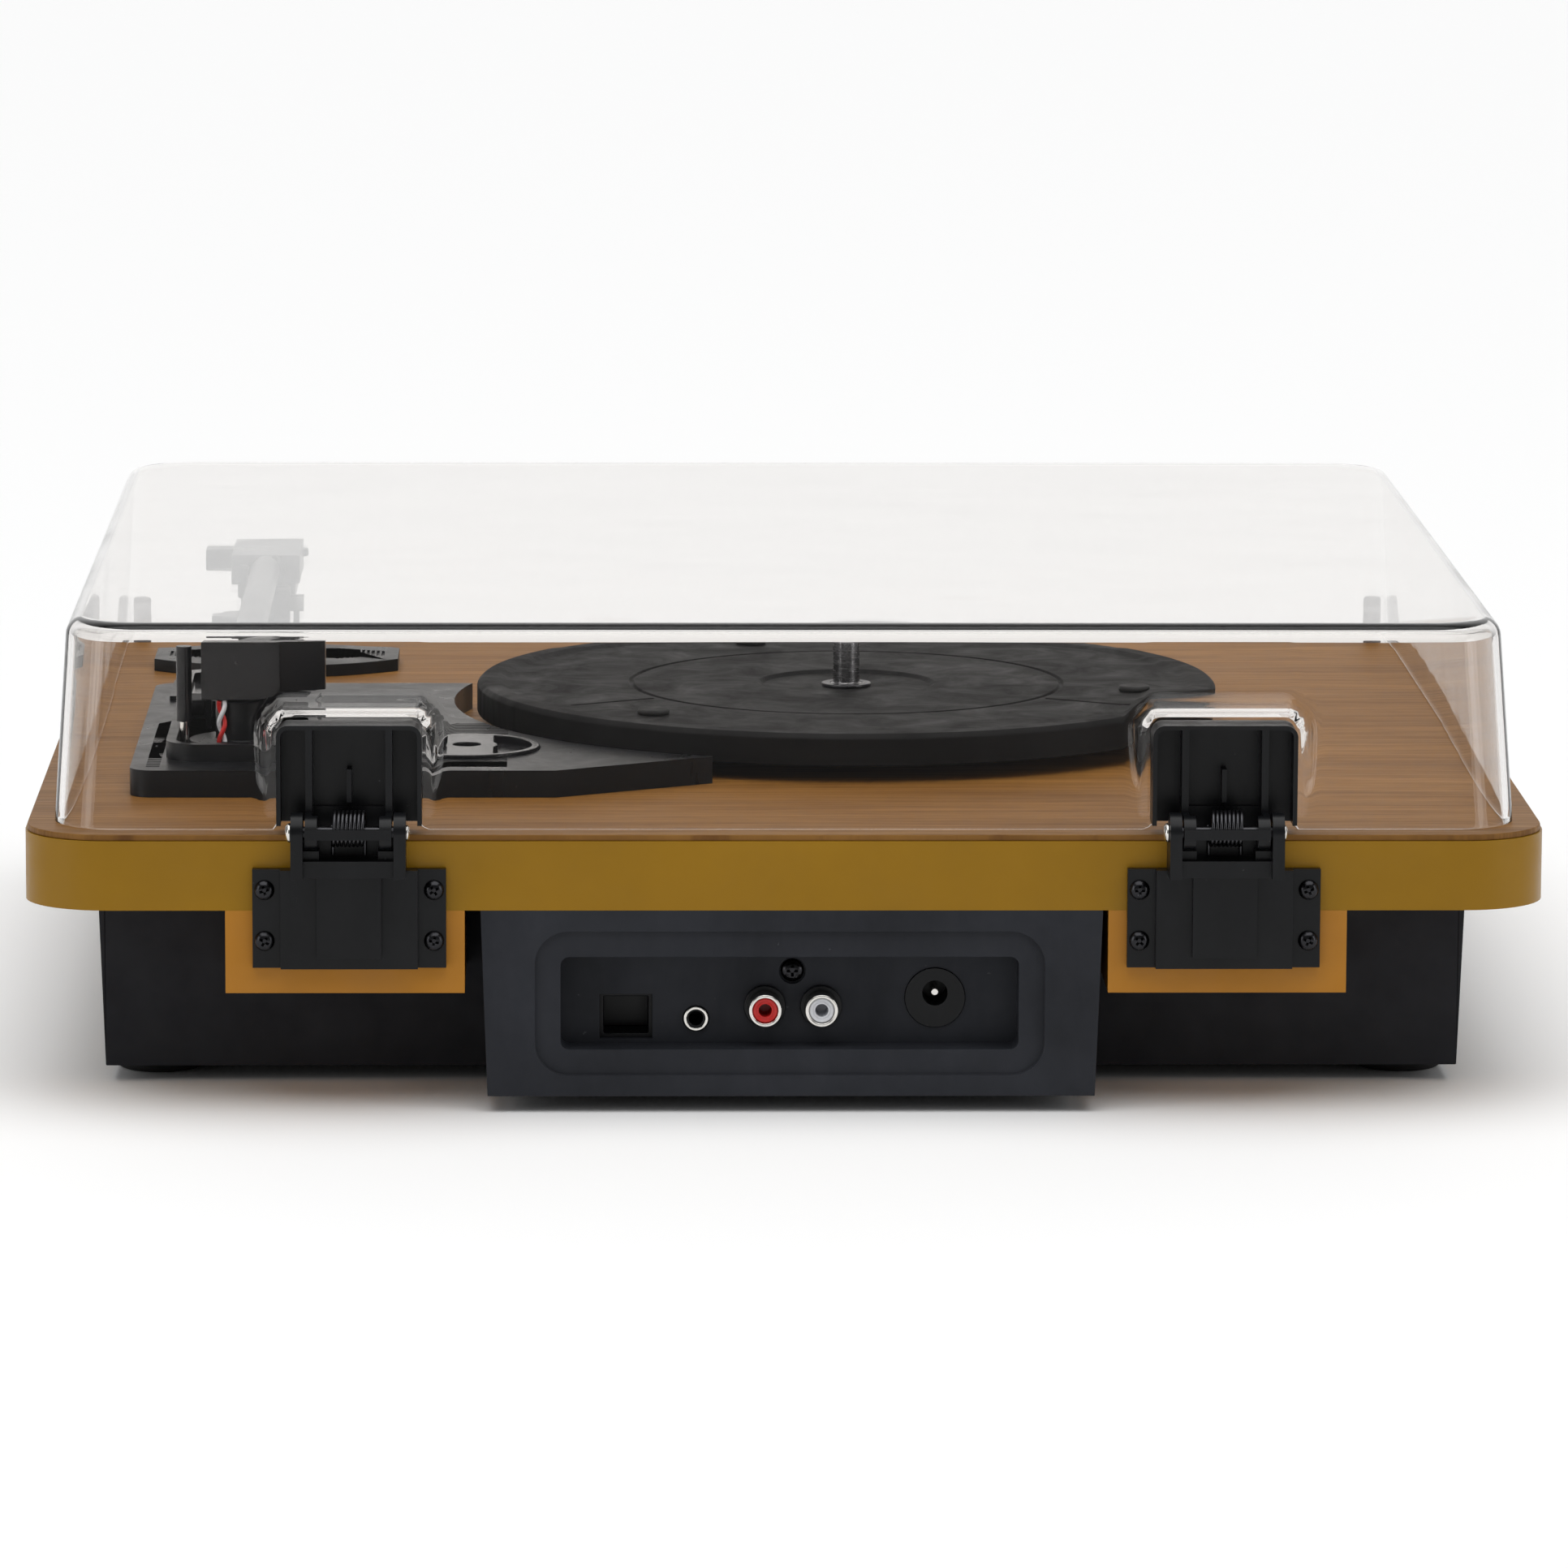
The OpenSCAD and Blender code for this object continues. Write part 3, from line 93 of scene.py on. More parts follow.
def soft_box(name, place):
    """A rectangular lamp turned towards the middle of the player."""
    light = bpy.data.lights.new(name, "AREA")
    light.shape = "RECTANGLE"
    light.size, light.size_y = BOX_SIZE
    light.energy = BOX_POWER
    lamp = bpy.data.objects.new(name, light)
    bpy.context.collection.objects.link(lamp)
    lamp.location = place
    aim = Vector(BOX_TARGET) - Vector(place)
    lamp.rotation_euler = aim.to_track_quat("-Z", "Y").to_euler()


def surround():
    """An even grey room with a bright backdrop beyond the player."""
    world = bpy.data.worlds.new("surround")
    bpy.context.scene.world = world
    world.use_nodes = True
    tree = world.node_tree
    place = tree.nodes.new("ShaderNodeTexCoord")
    towards = tree.nodes.new("ShaderNodeVectorMath")
    towards.operation = "DOT_PRODUCT"
    towards.inputs[1].default_value = BACKDROP_TOWARDS
    tree.links.new(place.outputs["Generated"], towards.inputs[0])
    shade = tree.nodes.new("ShaderNodeValToRGB")
    dim, bright = shade.color_ramp.elements
    dim.position, dim.color = BACKDROP_EDGE, (SURROUND, SURROUND, SURROUND, 1)
    bright.position, bright.color = BACKDROP_FULL, (BACKDROP, BACKDROP, BACKDROP, 1)
    tree.links.new(towards.outputs["Value"], shade.inputs["Fac"])
    tree.links.new(shade.outputs["Color"], tree.nodes["Background"].inputs["Color"])


def pale_floor():
    """A plain pale floor just under the feet."""
    mesh = bpy.data.meshes.new("floor")
    half = FLOOR_HALF
    mesh.from_pydata(
        [(-half, -half, 0), (half, -half, 0), (half, half, 0), (-half, half, 0)], [], [(0, 1, 2, 3)]
    )
    floor = bpy.data.objects.new("floor", mesh)
    bpy.context.collection.objects.link(floor)
    floor.location.z = -FLOOR_DROP
    pale = bpy.data.materials.new("floor_pale")
    pale.use_nodes = True
    shader = pale.node_tree.nodes["Principled BSDF"]
    shader.inputs["Base Color"].default_value = (FLOOR_GREY, FLOOR_GREY, FLOOR_GREY, 1)
    shader.inputs["Roughness"].default_value = FLOOR_ROUGH
    shader.inputs["Specular IOR Level"].default_value = FLOOR_GLOSS
    mesh.materials.append(pale)


def studio():
    """A pale floor, the surround, a broad overhead light and two soft boxes."""
    bpy.context.scene.view_settings.view_transform = "Standard"
    surround()
    pale_floor()
    sky = bpy.data.lights.new("overhead", "SUN")
    sky.energy = OVERHEAD_POWER
    sky.angle = OVERHEAD_SPREAD
    overhead = bpy.data.objects.new("overhead", sky)
    bpy.context.collection.objects.link(overhead)
    overhead.rotation_euler = (OVERHEAD_TILT, 0, 0)
    soft_box("left_box", (BOX_ASIDE, BOX_BEHIND, BOX_UP))
    soft_box("right_box", (-BOX_ASIDE, BOX_BEHIND, BOX_UP))


def camera():
    """The long lens behind the player, a little above it, looking down at its sockets."""
    data = bpy.data.cameras.new("camera")
    data.sensor_width = SENSOR
    data.lens = LENS
    data.clip_end = VIEW_LIMIT
    cam = bpy.data.objects.new("camera", data)
    bpy.context.collection.objects.link(cam)
    cam.matrix_world = (
        Matrix.Translation((CAMERA_ASIDE, BACK_Y + CAMERA_BEHIND, CAMERA_UP))
        @ Matrix.Rotation(radians(180), 4, "Z")
        @ Matrix.Rotation(radians(90 - CAMERA_DOWN), 4, "X")
        @ Matrix.Rotation(radians(CAMERA_PAN), 4, "Y")
    )
    bpy.context.scene.camera = cam


camera()
studio()


# ---------------------------------------------------------------- materials

def new_material(name):
    """A node material, its tree and its main shader."""
    material = bpy.data.materials.new(name)
    material.use_nodes = True
    tree = material.node_tree
    shader = tree.nodes["Principled BSDF"]
    return material, tree, shader


def texture_space(tree, stretch=(1, 1, 1)):
    """Object coordinates, stretched."""
    place = tree.nodes.new("ShaderNodeTexCoord")
    mapping = tree.nodes.new("ShaderNodeMapping")
    mapping.inputs["Scale"].default_value = stretch
    tree.links.new(place.outputs["Object"], mapping.inputs["Vector"])
    return mapping.outputs["Vector"]


def noise(tree, vector, scale, detail=4, rough=0.6, distortion=0):
    """Fractal noise from 0 to 1 at a scale in waves per metre."""
    texture = tree.nodes.new("ShaderNodeTexNoise")
    texture.inputs["Scale"].default_value = scale
    texture.inputs["Detail"].default_value = detail
    texture.inputs["Roughness"].default_value = rough
    texture.inputs["Distortion"].default_value = distortion
    tree.links.new(vector, texture.inputs["Vector"])
    return texture.outputs["Fac"]


def ramp(tree, value, stops):
    """A colour ramp: stops are (place, grey or colour)."""
    node = tree.nodes.new("ShaderNodeValToRGB")
    elements = node.color_ramp.elements
    while len(elements) < len(stops):
        elements.new(0.5)
    for element, (place, colour) in zip(elements, stops):
        element.position = place
        if not isinstance(colour, tuple):
            colour = (colour, colour, colour)
        element.color = (*colour, 1)
    tree.links.new(value, node.inputs["Fac"])
    return node.outputs["Color"]


def blend_colour(tree, mode, factor, first, second):
    """Two colours mixed; each argument is a socket, a colour or a number."""
    node = tree.nodes.new("ShaderNodeMix")
    node.data_type = "RGBA"
    node.blend_type = mode
    share, colour_a, colour_b = node.inputs[0], node.inputs[6], node.inputs[7]
    for socket, value in ((share, factor), (colour_a, first), (colour_b, second)):
        if isinstance(value, bpy.types.NodeSocket):
            tree.links.new(value, socket)
        elif isinstance(value, tuple):
            socket.default_value = (*value, 1)
        else:
            socket.default_value = value
    return node.outputs[2]


def bump(tree, shader, height, strength, depth):
    """Relief on a shader: depth in metres."""
    node = tree.nodes.new("ShaderNodeBump")
    node.inputs["Strength"].default_value = strength
    node.inputs["Distance"].default_value = depth
    tree.links.new(height, node.inputs["Height"])
    tree.links.new(node.outputs["Normal"], shader.inputs["Normal"])


def moulded(name, colour, rough, grain=900, grain_depth=0.00002, mottle=0.25, scuff=0.5,
            gloss=0.35):
    """Moulded plastic: a faint mottle, a fine mould grain, nicks, and scuffs that dull it."""
    material, tree, shader = new_material(name)
    shader.inputs["Specular IOR Level"].default_value = gloss
    space = texture_space(tree)
    dark = tuple(c * (1 - mottle) for c in colour)
    light = tuple(min(1, c * (1 + mottle) + 0.002) for c in colour)
    worn = tuple(min(1, c * 1.6 + 0.03) for c in colour)
    tone = ramp(tree, noise(tree, space, scale=35, detail=5), [(0.3, dark), (0.7, light)])
    spots = noise(tree, space, scale=420, detail=2, rough=0.5)
    nick = ramp(tree, spots, [(0.76, 0.0), (0.8, 1.0)])
    tone = blend_colour(tree, "MIX", nick, tone, worn)
    tree.links.new(tone, shader.inputs["Base Color"])
    along = texture_space(tree, (1, 1, 0.18))
    streak = noise(tree, along, scale=60, detail=6, rough=0.7, distortion=0.6)
    polished = rough * (1 - scuff * 0.4)
    scuffed = min(1, rough * (1 + scuff))
    dull = ramp(tree, streak, [(0.25, polished), (0.75, scuffed)])
    tree.links.new(dull, shader.inputs["Roughness"])
    bump(tree, shader, noise(tree, space, scale=grain, detail=2), 0.5, grain_depth)
    return material


def lacquer(name, colour, rough, orange_peel=0.00003, gloss=0.35):
    """Sprayed lacquer on board: slow tone changes, a fine orange peel and a soft coat."""
    material, tree, shader = new_material(name)
    shader.inputs["Specular IOR Level"].default_value = gloss
    space = texture_space(tree)
    dark = tuple(c * 0.86 for c in colour)
    light = tuple(min(1, c * 1.1) for c in colour)
    clouds = noise(tree, space, scale=9, detail=5, rough=0.65)
    tree.links.new(ramp(tree, clouds, [(0.3, dark), (0.7, light)]), shader.inputs["Base Color"])
    patches = noise(tree, space, scale=70, detail=5)
    dull = ramp(tree, patches, [(0.3, rough * 0.8), (0.7, rough * 1.35)])
    tree.links.new(dull, shader.inputs["Roughness"])
    bump(tree, shader, noise(tree, space, scale=650, detail=3, rough=0.5), 0.35, orange_peel)
    return material


def metal(name, colour, rough, brush=(1, 1, 1)):
    """Bare or plated metal with fine brushing."""
    material, tree, shader = new_material(name)
    shader.inputs["Metallic"].default_value = 1
    line = noise(tree, texture_space(tree, brush), scale=300, detail=4, rough=0.7)
    dark = tuple(c * 0.8 for c in colour)
    tree.links.new(ramp(tree, line, [(0.2, dark), (0.8, colour)]), shader.inputs["Base Color"])
    dull = ramp(tree, line, [(0.2, rough * 0.6), (0.8, rough * 1.5)])
    tree.links.new(dull, shader.inputs["Roughness"])
    bump(tree, shader, line, 0.2, 0.00001)
    return material


def veneer(name):
    """Oiled wood veneer whose grain runs along X: broad bands, fine lines, short dark pores."""
    material, tree, shader = new_material(name)
    shader.inputs["Specular IOR Level"].default_value = 0.25
    broad = texture_space(tree, (1.2, 14, 1))
    narrow = texture_space(tree, (3, 130, 1))
    short = texture_space(tree, (14, 420, 1))
    bands = noise(tree, broad, scale=5, detail=4, distortion=0.5)
    lines = noise(tree, narrow, scale=7, detail=6, rough=0.7, distortion=0.15)
    pores = noise(tree, short, scale=6, detail=3)
    deep, middle, pale = (0.165, 0.072, 0.010), (0.205, 0.092, 0.014), (0.250, 0.119, 0.023)
    white = (1.0, 1.0, 1.0)
    base = ramp(tree, bands, [(0.3, deep), (0.5, middle), (0.72, pale)])
    fine = ramp(tree, lines, [(0.32, (0.60, 0.54, 0.48)), (0.6, white)])
    pore = ramp(tree, pores, [(0.33, (0.55, 0.46, 0.40)), (0.42, white)])
    tone = blend_colour(tree, "MULTIPLY", 1.0, base, fine)
    tone = blend_colour(tree, "MULTIPLY", 0.8, tone, pore)
    tree.links.new(tone, shader.inputs["Base Color"])
    tree.links.new(ramp(tree, lines, [(0.3, 0.6), (0.7, 0.45)]), shader.inputs["Roughness"])
    bump(tree, shader, pores, 0.35, 0.00006)
    return material


def clear_plastic(name):
    """Clear moulded plastic with a trace of smoke and faint ripples; lamps shine through it."""
    material, tree, shader = new_material(name)
    shader.inputs["Base Color"].default_value = (0.93, 0.915, 0.90, 1)
    shader.inputs["Transmission Weight"].default_value = 1
    shader.inputs["IOR"].default_value = 1.31
    shader.inputs["Roughness"].default_value = 0.0
    ripple = noise(tree, texture_space(tree), scale=16, detail=2, rough=0.4)
    bump(tree, shader, ripple, 0.12, 0.0006)
    passing = tree.nodes.new("ShaderNodeBsdfTransparent")
    passing.inputs["Color"].default_value = (0.93, 0.92, 0.91, 1)
    rays = tree.nodes.new("ShaderNodeLightPath")
    mix = tree.nodes.new("ShaderNodeMixShader")
    tree.links.new(rays.outputs["Is Shadow Ray"], mix.inputs["Fac"])
    tree.links.new(shader.outputs["BSDF"], mix.inputs[1])
    tree.links.new(passing.outputs["BSDF"], mix.inputs[2])
    tree.links.new(mix.outputs["Shader"], tree.nodes["Material Output"].inputs["Surface"])
    return material


MATERIALS = {
    "gold_paint": lacquer("gold_lacquer", (0.270, 0.138, 0.004), 0.36, gloss=0.2),
    "block_paint": lacquer("block_lacquer", (0.40, 0.165, 0.010), 0.5, orange_peel=0.0001),
    "deck_wood": veneer("deck_veneer"),
    "satin_platter": moulded(
        "satin_platter", (0.0034, 0.0034, 0.0037), 0.52, grain=480, grain_depth=0.00006, gloss=0.12
    ),
    "cabinet_black": lacquer("cabinet_lacquer", (0.0135, 0.0140, 0.0175), 0.55, gloss=0.2),
    "box_plastic": moulded("box_plastic", (0.0175, 0.019, 0.024), 0.5, gloss=0.2),
    "black_plastic": moulded("black_plastic", (0.0030, 0.0034, 0.0043), 0.28, gloss=0.22),
    "gloss_black": moulded("gloss_black", (0.004, 0.004, 0.005), 0.16, scuff=0.8, gloss=0.4),
    "clear_cover": clear_plastic("clear_cover"),
    "bumper_grey": moulded("bumper_rubber", (0.16, 0.15, 0.15), 0.6),
    "rubber_black": moulded("black_rubber", (0.011, 0.011, 0.011), 0.62),
    "bright_metal": metal("bright_nickel", (0.83, 0.81, 0.77), 0.16),
    "steel": metal("turned_steel", (0.26, 0.26, 0.27), 0.24, brush=(1, 1, 6)),
    "dark_steel": metal("spring_steel", (0.07, 0.07, 0.075), 0.3),
    "screw_black": metal("black_zinc", (0.035, 0.035, 0.038), 0.24),
    "brass": metal("turned_brass", (0.75, 0.55, 0.25), 0.25),
    "phono_red": moulded("red_insert", (0.50, 0.018, 0.016), 0.25, mottle=0.08),
    "phono_white": moulded("white_insert", (0.62, 0.63, 0.66), 0.25, mottle=0.05),
    "board_green": moulded("circuit_board", (0.02, 0.12, 0.05), 0.4),
    "stylus_red": moulded("stylus_plastic", (0.35, 0.02, 0.015), 0.2),
}

LOOKS = {"platter": "satin_platter"}      # nodes that don't look like the rest of their slot

for name, node in nodes.items():
    node.data.materials.clear()
    node.data.materials.append(MATERIALS[LOOKS.get(name, slot_of_node[name])])


# ---------------------------------------------------------------- mesh tools

WELD = 2e-6                # corners closer than this are one
FLAT_ANGLE = radians(0.6)
SMOOTH_ANGLE = 40
SOFT_SEGMENTS = 2
SOFT_ANGLE = radians(38)   # edges sharper than this are rounded
FLAT_WEIGHT = 90


def place_piece(name, mesh, material, body):
    """A new object that rides on a body, in the given material unless its mesh has one already."""
    piece = bpy.data.objects.new(name, mesh)
    bpy.context.collection.objects.link(piece)
    if not mesh.materials:
        mesh.materials.append(MATERIALS[material])
    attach(piece, body)
    return piece


def mesh_of(work, name):
    """Closes a working mesh and returns it as a named one."""
    mesh = bpy.data.meshes.new(name)
    work.to_mesh(mesh)
    work.free()
    return mesh


def keep_modified(piece):
    """Turns what the modifiers make into the piece's own mesh."""
    graph = bpy.context.evaluated_depsgraph_get()
    mesh = bpy.data.meshes.new_from_object(piece.evaluated_get(graph))
    piece.modifiers.clear()
    piece.data = mesh


def smooth(mesh, sharp=SMOOTH_ANGLE):
    """Shades a mesh smooth, but for edges sharper than an angle in degrees."""
    mesh.polygons.foreach_set("use_smooth", [True] * len(mesh.polygons))
    mesh.set_sharp_from_angle(angle=radians(sharp))


def merged(node):
    """A working copy of a CAD node's mesh, with its split corners joined and flat faces whole."""
    work = bmesh.new()
    work.from_mesh(nodes[node].data)
    bmesh.ops.remove_doubles(work, verts=work.verts, dist=WELD)
    bmesh.ops.dissolve_limit(work, angle_limit=FLAT_ANGLE, verts=work.verts, edges=work.edges)
    return work


def soften(node, width):
    """Stands in for a CAD node: the same shape with its edges rounded by a width in mm.

    The faces are smooth before the rounding, so that the weighted normals keep flats flat.
    """
    mesh = mesh_of(merged(node), node + "_soft")
    mesh.polygons.foreach_set("use_smooth", [True] * len(mesh.polygons))
    slot = slot_of_node[node]
    piece = place_piece(node + "_soft", mesh, LOOKS.get(node, slot), body_of_node[node])
    rounder = piece.modifiers.new("round", "BEVEL")
    rounder.width = width * MM
    rounder.segments = SOFT_SEGMENTS
    rounder.limit_method = "ANGLE"
    rounder.angle_limit = SOFT_ANGLE
    rounder.use_clamp_overlap = True
    rounder.miter_outer = "MITER_ARC"
    flats = piece.modifiers.new("flats", "WEIGHTED_NORMAL")
    flats.weight = FLAT_WEIGHT
    keep_modified(piece)
    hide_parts(node)


SOFT_EDGES = {             # how far the edges of each CAD node are rounded, in mm
    "plinth": 1.2, "cabinet": 0.6, "connector_box": 0.7, "socket_panel": 0.25, "hinge_blocks": 0.5,
    "hinge_bracket_left": 0.45, "hinge_bracket_right": 0.45, "hinge_leaf_left": 0.4,
    "hinge_leaf_right": 0.4, "control_plate": 0.25, "arm_base": 0.5, "arm_turret": 0.5,
    "tonearm": 0.5, "arm_rest": 0.4, "rest_clip": 0.3, "rest_plate": 0.25, "speed_selector": 0.5,
    "autostop_switch": 0.5, "usb_socket": 0.25, "cue_lever": 0.4,
    "adapter_45": 0.3, "cartridge": 0.6, "headshell": 0.5, "lift_platform": 0.3,
    "power_socket": 0.2, "deck_veneer": 1.1, "platter": 0.5, "platter_pads": 0.6,
    "hub_washer": 0.25, "rubber_feet": 0.6, "volume_knob": 0.5, "cover_bumpers": 1.4,
    "phono_collars": 0.3, "aux_jack_ring": 0.25, "headphone_jack": 0.25, "spindle": 0.5,
    "lift_rod": 0.3, "power_pin": 0.3, "stylus": 0.15, "speakers": 0.5, "amplifier_board": 0.2,
    "motor": 0.5, "motor_pulley": 0.2, "drive_belt": 0.15, "arm_pivot_pin": 0.2,
    "spindle_bush": 0.3, "bottom_panel": 0.4, "volume_pot": 0.4, "aux_jack": 0.2,
    "case_screws": 0.3,
}
for name, width in SOFT_EDGES.items():
    soften(name, width)


# ---------------------------------------------------------------- the dust cover

COVER_LOW, COVER_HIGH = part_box("dust_cover")
COVER_TALL = COVER_HIGH.z - COVER_LOW.z
COVER_WALL = 2.2 * MM
LEAN = 12 * MM            # how far the back wall leans in over its height
SIDE_DRAFT = 2.75 * MM
FRONT_DRAFT = 1 * MM
COVER_CORNER = 16 * MM
CORNER_SHRINK = 0.6       # how fast the corners tighten as the outline moves in
COVER_EDGE = 4 * MM       # radius where the walls turn into the top
TOP_INSETS = (1.5 * MM, 8 * MM)
BACK_IN = 0.5 * MM        # the flat backs of the bosses stand this far inside the cover's box
RIM_ROUND = 0.6 * MM
RIM_SEGMENTS = 3
RIM_ANGLE = radians(65)
COVER_SMOOTH = 60
CORNER_STEPS = 10
BACK_COLUMNS = 230
WALL_STEPS = 34
EDGE_STEPS = 10

HINGE_X = 108.6 * MM
BOSS_MID = 108.75 * MM
BOSS_HALF = 23.75 * MM
BOSS_TOP = DECK_Z + 32 * MM
BOSS_LOW = COVER_LOW.z - 40 * MM    # far enough below the rim for the boss to run off it
BOSS_CORNER = 8 * MM
BOSS_STEP = 3.6 * MM      # width of the slope round a boss
NOTCH_HALF = 18.2 * MM
NOTCH = 2.2 * MM
NOTCH_SLOPE = 1 * MM


def ease(value):
    """A soft step from 0 to 1."""
    value = min(1, max(0, value))
    return value * value * (3 - 2 * value)


def boss_share(x, z):
    """1 on the flat back of a hinge boss, 0 beside it."""
    across = abs(abs(x) - BOSS_MID) - (BOSS_HALF - BOSS_CORNER)
    up = abs(z - (BOSS_TOP + BOSS_LOW) / 2) - ((BOSS_TOP - BOSS_LOW) / 2 - BOSS_CORNER)
    outside = hypot(max(across, 0), max(up, 0)) + min(max(across, up), 0) - BOSS_CORNER
    return ease(-outside / BOSS_STEP)


def cover_ring(height, inset):
    """One closed outline of the cover, as [x, y] points, at a height from 0 to 1."""
    half = COVER_HIGH.x - SIDE_DRAFT * height - inset
    back = COVER_HIGH.y - LEAN * height - inset
    front = COVER_LOW.y + FRONT_DRAFT * height + inset
    corner = COVER_CORNER - CORNER_SHRINK * inset
    points = []
    for turn, (mid_x, mid_y) in enumerate((
        (half - corner, back - corner), (-half + corner, back - corner),
        (-half + corner, front + corner), (half - corner, front + corner),
    )):
        for step in range(CORNER_STEPS + 1):
            angle = pi / 2 * (turn + step / CORNER_STEPS)
            points.append([mid_x + corner * cos(angle), mid_y + corner * sin(angle)])
        if turn == 0:
            reach = half - corner
            for column in range(1, BACK_COLUMNS + 1):
                points.append([reach - 2 * reach * column / (BACK_COLUMNS + 1), back])
    return points


def dust_cover():
    """The clear cover: leaning back wall with two hinge bosses, rounded edges, open below."""
    straight = COVER_TALL - COVER_EDGE
    levels = [(straight * i / WALL_STEPS, 0) for i in range(WALL_STEPS + 1)]
    levels += [
        (straight + COVER_EDGE * sin(a), COVER_EDGE * (1 - cos(a)))
        for a in (pi / 2 * (i + 1) / EDGE_STEPS for i in range(EDGE_STEPS))
    ]
    levels += [(COVER_TALL, COVER_EDGE + extra) for extra in TOP_INSETS]
    work = bmesh.new()
    rings = []
    flat_back = COVER_HIGH.y - BACK_IN
    for up, inset in levels:
        ring = []
        for x, y in cover_ring(up / COVER_TALL, inset):
            z = COVER_LOW.z + up
            if y > 0 and abs(x) < COVER_HIGH.x - COVER_CORNER - SIDE_DRAFT:
                y += max(0, flat_back - y) * boss_share(x, z)
                inside = NOTCH_HALF - abs(abs(x) - HINGE_X)
                z += NOTCH * ease(inside / NOTCH_SLOPE + 0.5) * (1 - up / COVER_TALL)
            ring.append(work.verts.new((x, y, z)))
        rings.append(ring)
    for lower, upper in zip(rings, rings[1:]):
        for i in range(len(lower)):
            j = (i + 1) % len(lower)
            work.faces.new((lower[i], lower[j], upper[j], upper[i]))
    work.faces.new(rings[-1])
    bmesh.ops.recalc_face_normals(work, faces=work.faces)
    mesh = mesh_of(work, "cover_shell")
    piece = place_piece("cover_shell", mesh, "clear_cover", body_of_node["dust_cover"])
    wall = piece.modifiers.new("wall", "SOLIDIFY")
    wall.thickness = COVER_WALL
    wall.offset = -1
    wall.use_even_offset = True
    rim = piece.modifiers.new("rim", "BEVEL")
    rim.width = RIM_ROUND
    rim.segments = RIM_SEGMENTS
    rim.limit_method = "ANGLE"
    rim.angle_limit = RIM_ANGLE
    keep_modified(piece)
    smooth(piece.data, COVER_SMOOTH)
    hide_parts("dust_cover")


dust_cover()


# ---------------------------------------------------------------- turned and wound parts

CORNER_BLEND_STEPS = 4
CORNER_SHARE = 0.45       # an eased corner takes no more than this much of each side
WIRE_SIDES = 12
BACKWARD = Matrix.Rotation(radians(-90), 4, "X")     # turns +Z to +Y


def lathe(profile, steps):
    """A surface turned about Z from (radius, height) points in metres."""
    work = bmesh.new()
    rings = []
    for radius, height in profile:
        count = steps if radius > 0 else 1
        angles = [2 * pi * i / steps for i in range(count)]
        rings.append([
            work.verts.new((radius * cos(angle), radius * sin(angle), height)) for angle in angles
        ])
    for low, high in zip(rings, rings[1:]):
        for i in range(steps):
            j = (i + 1) % steps
            corners = [low[i % len(low)], low[j % len(low)]]
            corners += [high[j % len(high)], high[i % len(high)]]
            corners = list(dict.fromkeys(corners))     # a ring of one point gives triangles
            if len(corners) > 2:
                work.faces.new(corners)
    bmesh.ops.recalc_face_normals(work, faces=work.faces)
    return work


def rounded(points, radius):
    """An outline in mm with its corners eased by a radius in mm, as points in metres."""
    points = [Vector(point) for point in points]
    line = [points[0]]
    for before, corner, after in zip(points, points[1:], points[2:]):
        back, on = before - corner, after - corner
        start = corner + back.normalized() * min(radius, back.length * CORNER_SHARE)
        end = corner + on.normalized() * min(radius, on.length * CORNER_SHARE)
        for i in range(CORNER_BLEND_STEPS + 1):
            t = i / CORNER_BLEND_STEPS
            line.append(start * (1 - t) ** 2 + corner * 2 * t * (1 - t) + end * t * t)
    line.append(points[-1])
    return [(max(0, p.x) * MM, p.y * MM) for p in line]


def tube(path, radius):
    """A round wire along a line of points, closed at both ends."""
    work = bmesh.new()
    rings = []
    normal = None
    for i, point in enumerate(path):
        along = (path[min(i + 1, len(path) - 1)] - path[max(i - 1, 0)]).normalized()
        if normal is None:
            normal = along.orthogonal().normalized()
        normal = (normal - along * normal.dot(along)).normalized()
        other = along.cross(normal)
        rings.append([
            work.verts.new(point + radius * (normal * cos(a) + other * sin(a)))
            for a in (2 * pi * k / WIRE_SIDES for k in range(WIRE_SIDES))
        ])
    for low, high in zip(rings, rings[1:]):
        for k in range(WIRE_SIDES):
            j = (k + 1) % WIRE_SIDES
            work.faces.new((low[k], low[j], high[j], high[k]))
    work.faces.new(rings[0])
    work.faces.new(rings[-1])
    bmesh.ops.recalc_face_normals(work, faces=work.faces)
    return work


def joined(name, parts):
    """One mesh out of (mesh, matrix) pairs."""
    work = bmesh.new()
    for mesh, matrix in parts:
        moved = mesh.copy()
        moved.transform(matrix)
        work.from_mesh(moved)
        bpy.data.meshes.remove(moved)
    return mesh_of(work, name)


def finish_piece(name, mesh, node, material=None, sharp=SMOOTH_ANGLE):
    """Puts a mesh in a CAD node's place, on its body and in its material unless one is given."""
    smooth(mesh, sharp)
    piece = place_piece(name, mesh, material or slot_of_node[node], body_of_node[node])
    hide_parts(node)


def cut(mesh, cutter, name):
    """A mesh less a cutter mesh."""
    block = bpy.data.objects.new("block", mesh)
    tool = bpy.data.objects.new("tool", cutter)
    for item in (block, tool):
        bpy.context.collection.objects.link(item)
    carve = block.modifiers.new("carve", "BOOLEAN")
    carve.operation = "DIFFERENCE"
    carve.solver = "EXACT"
    carve.object = tool
    graph = bpy.context.evaluated_depsgraph_get()
    result = bpy.data.meshes.new_from_object(block.evaluated_get(graph))
    for item in (block, tool):
        bpy.data.objects.remove(item)
    result.name = name
    return result


HEAD_TALL = 1.7           # screws, in mm
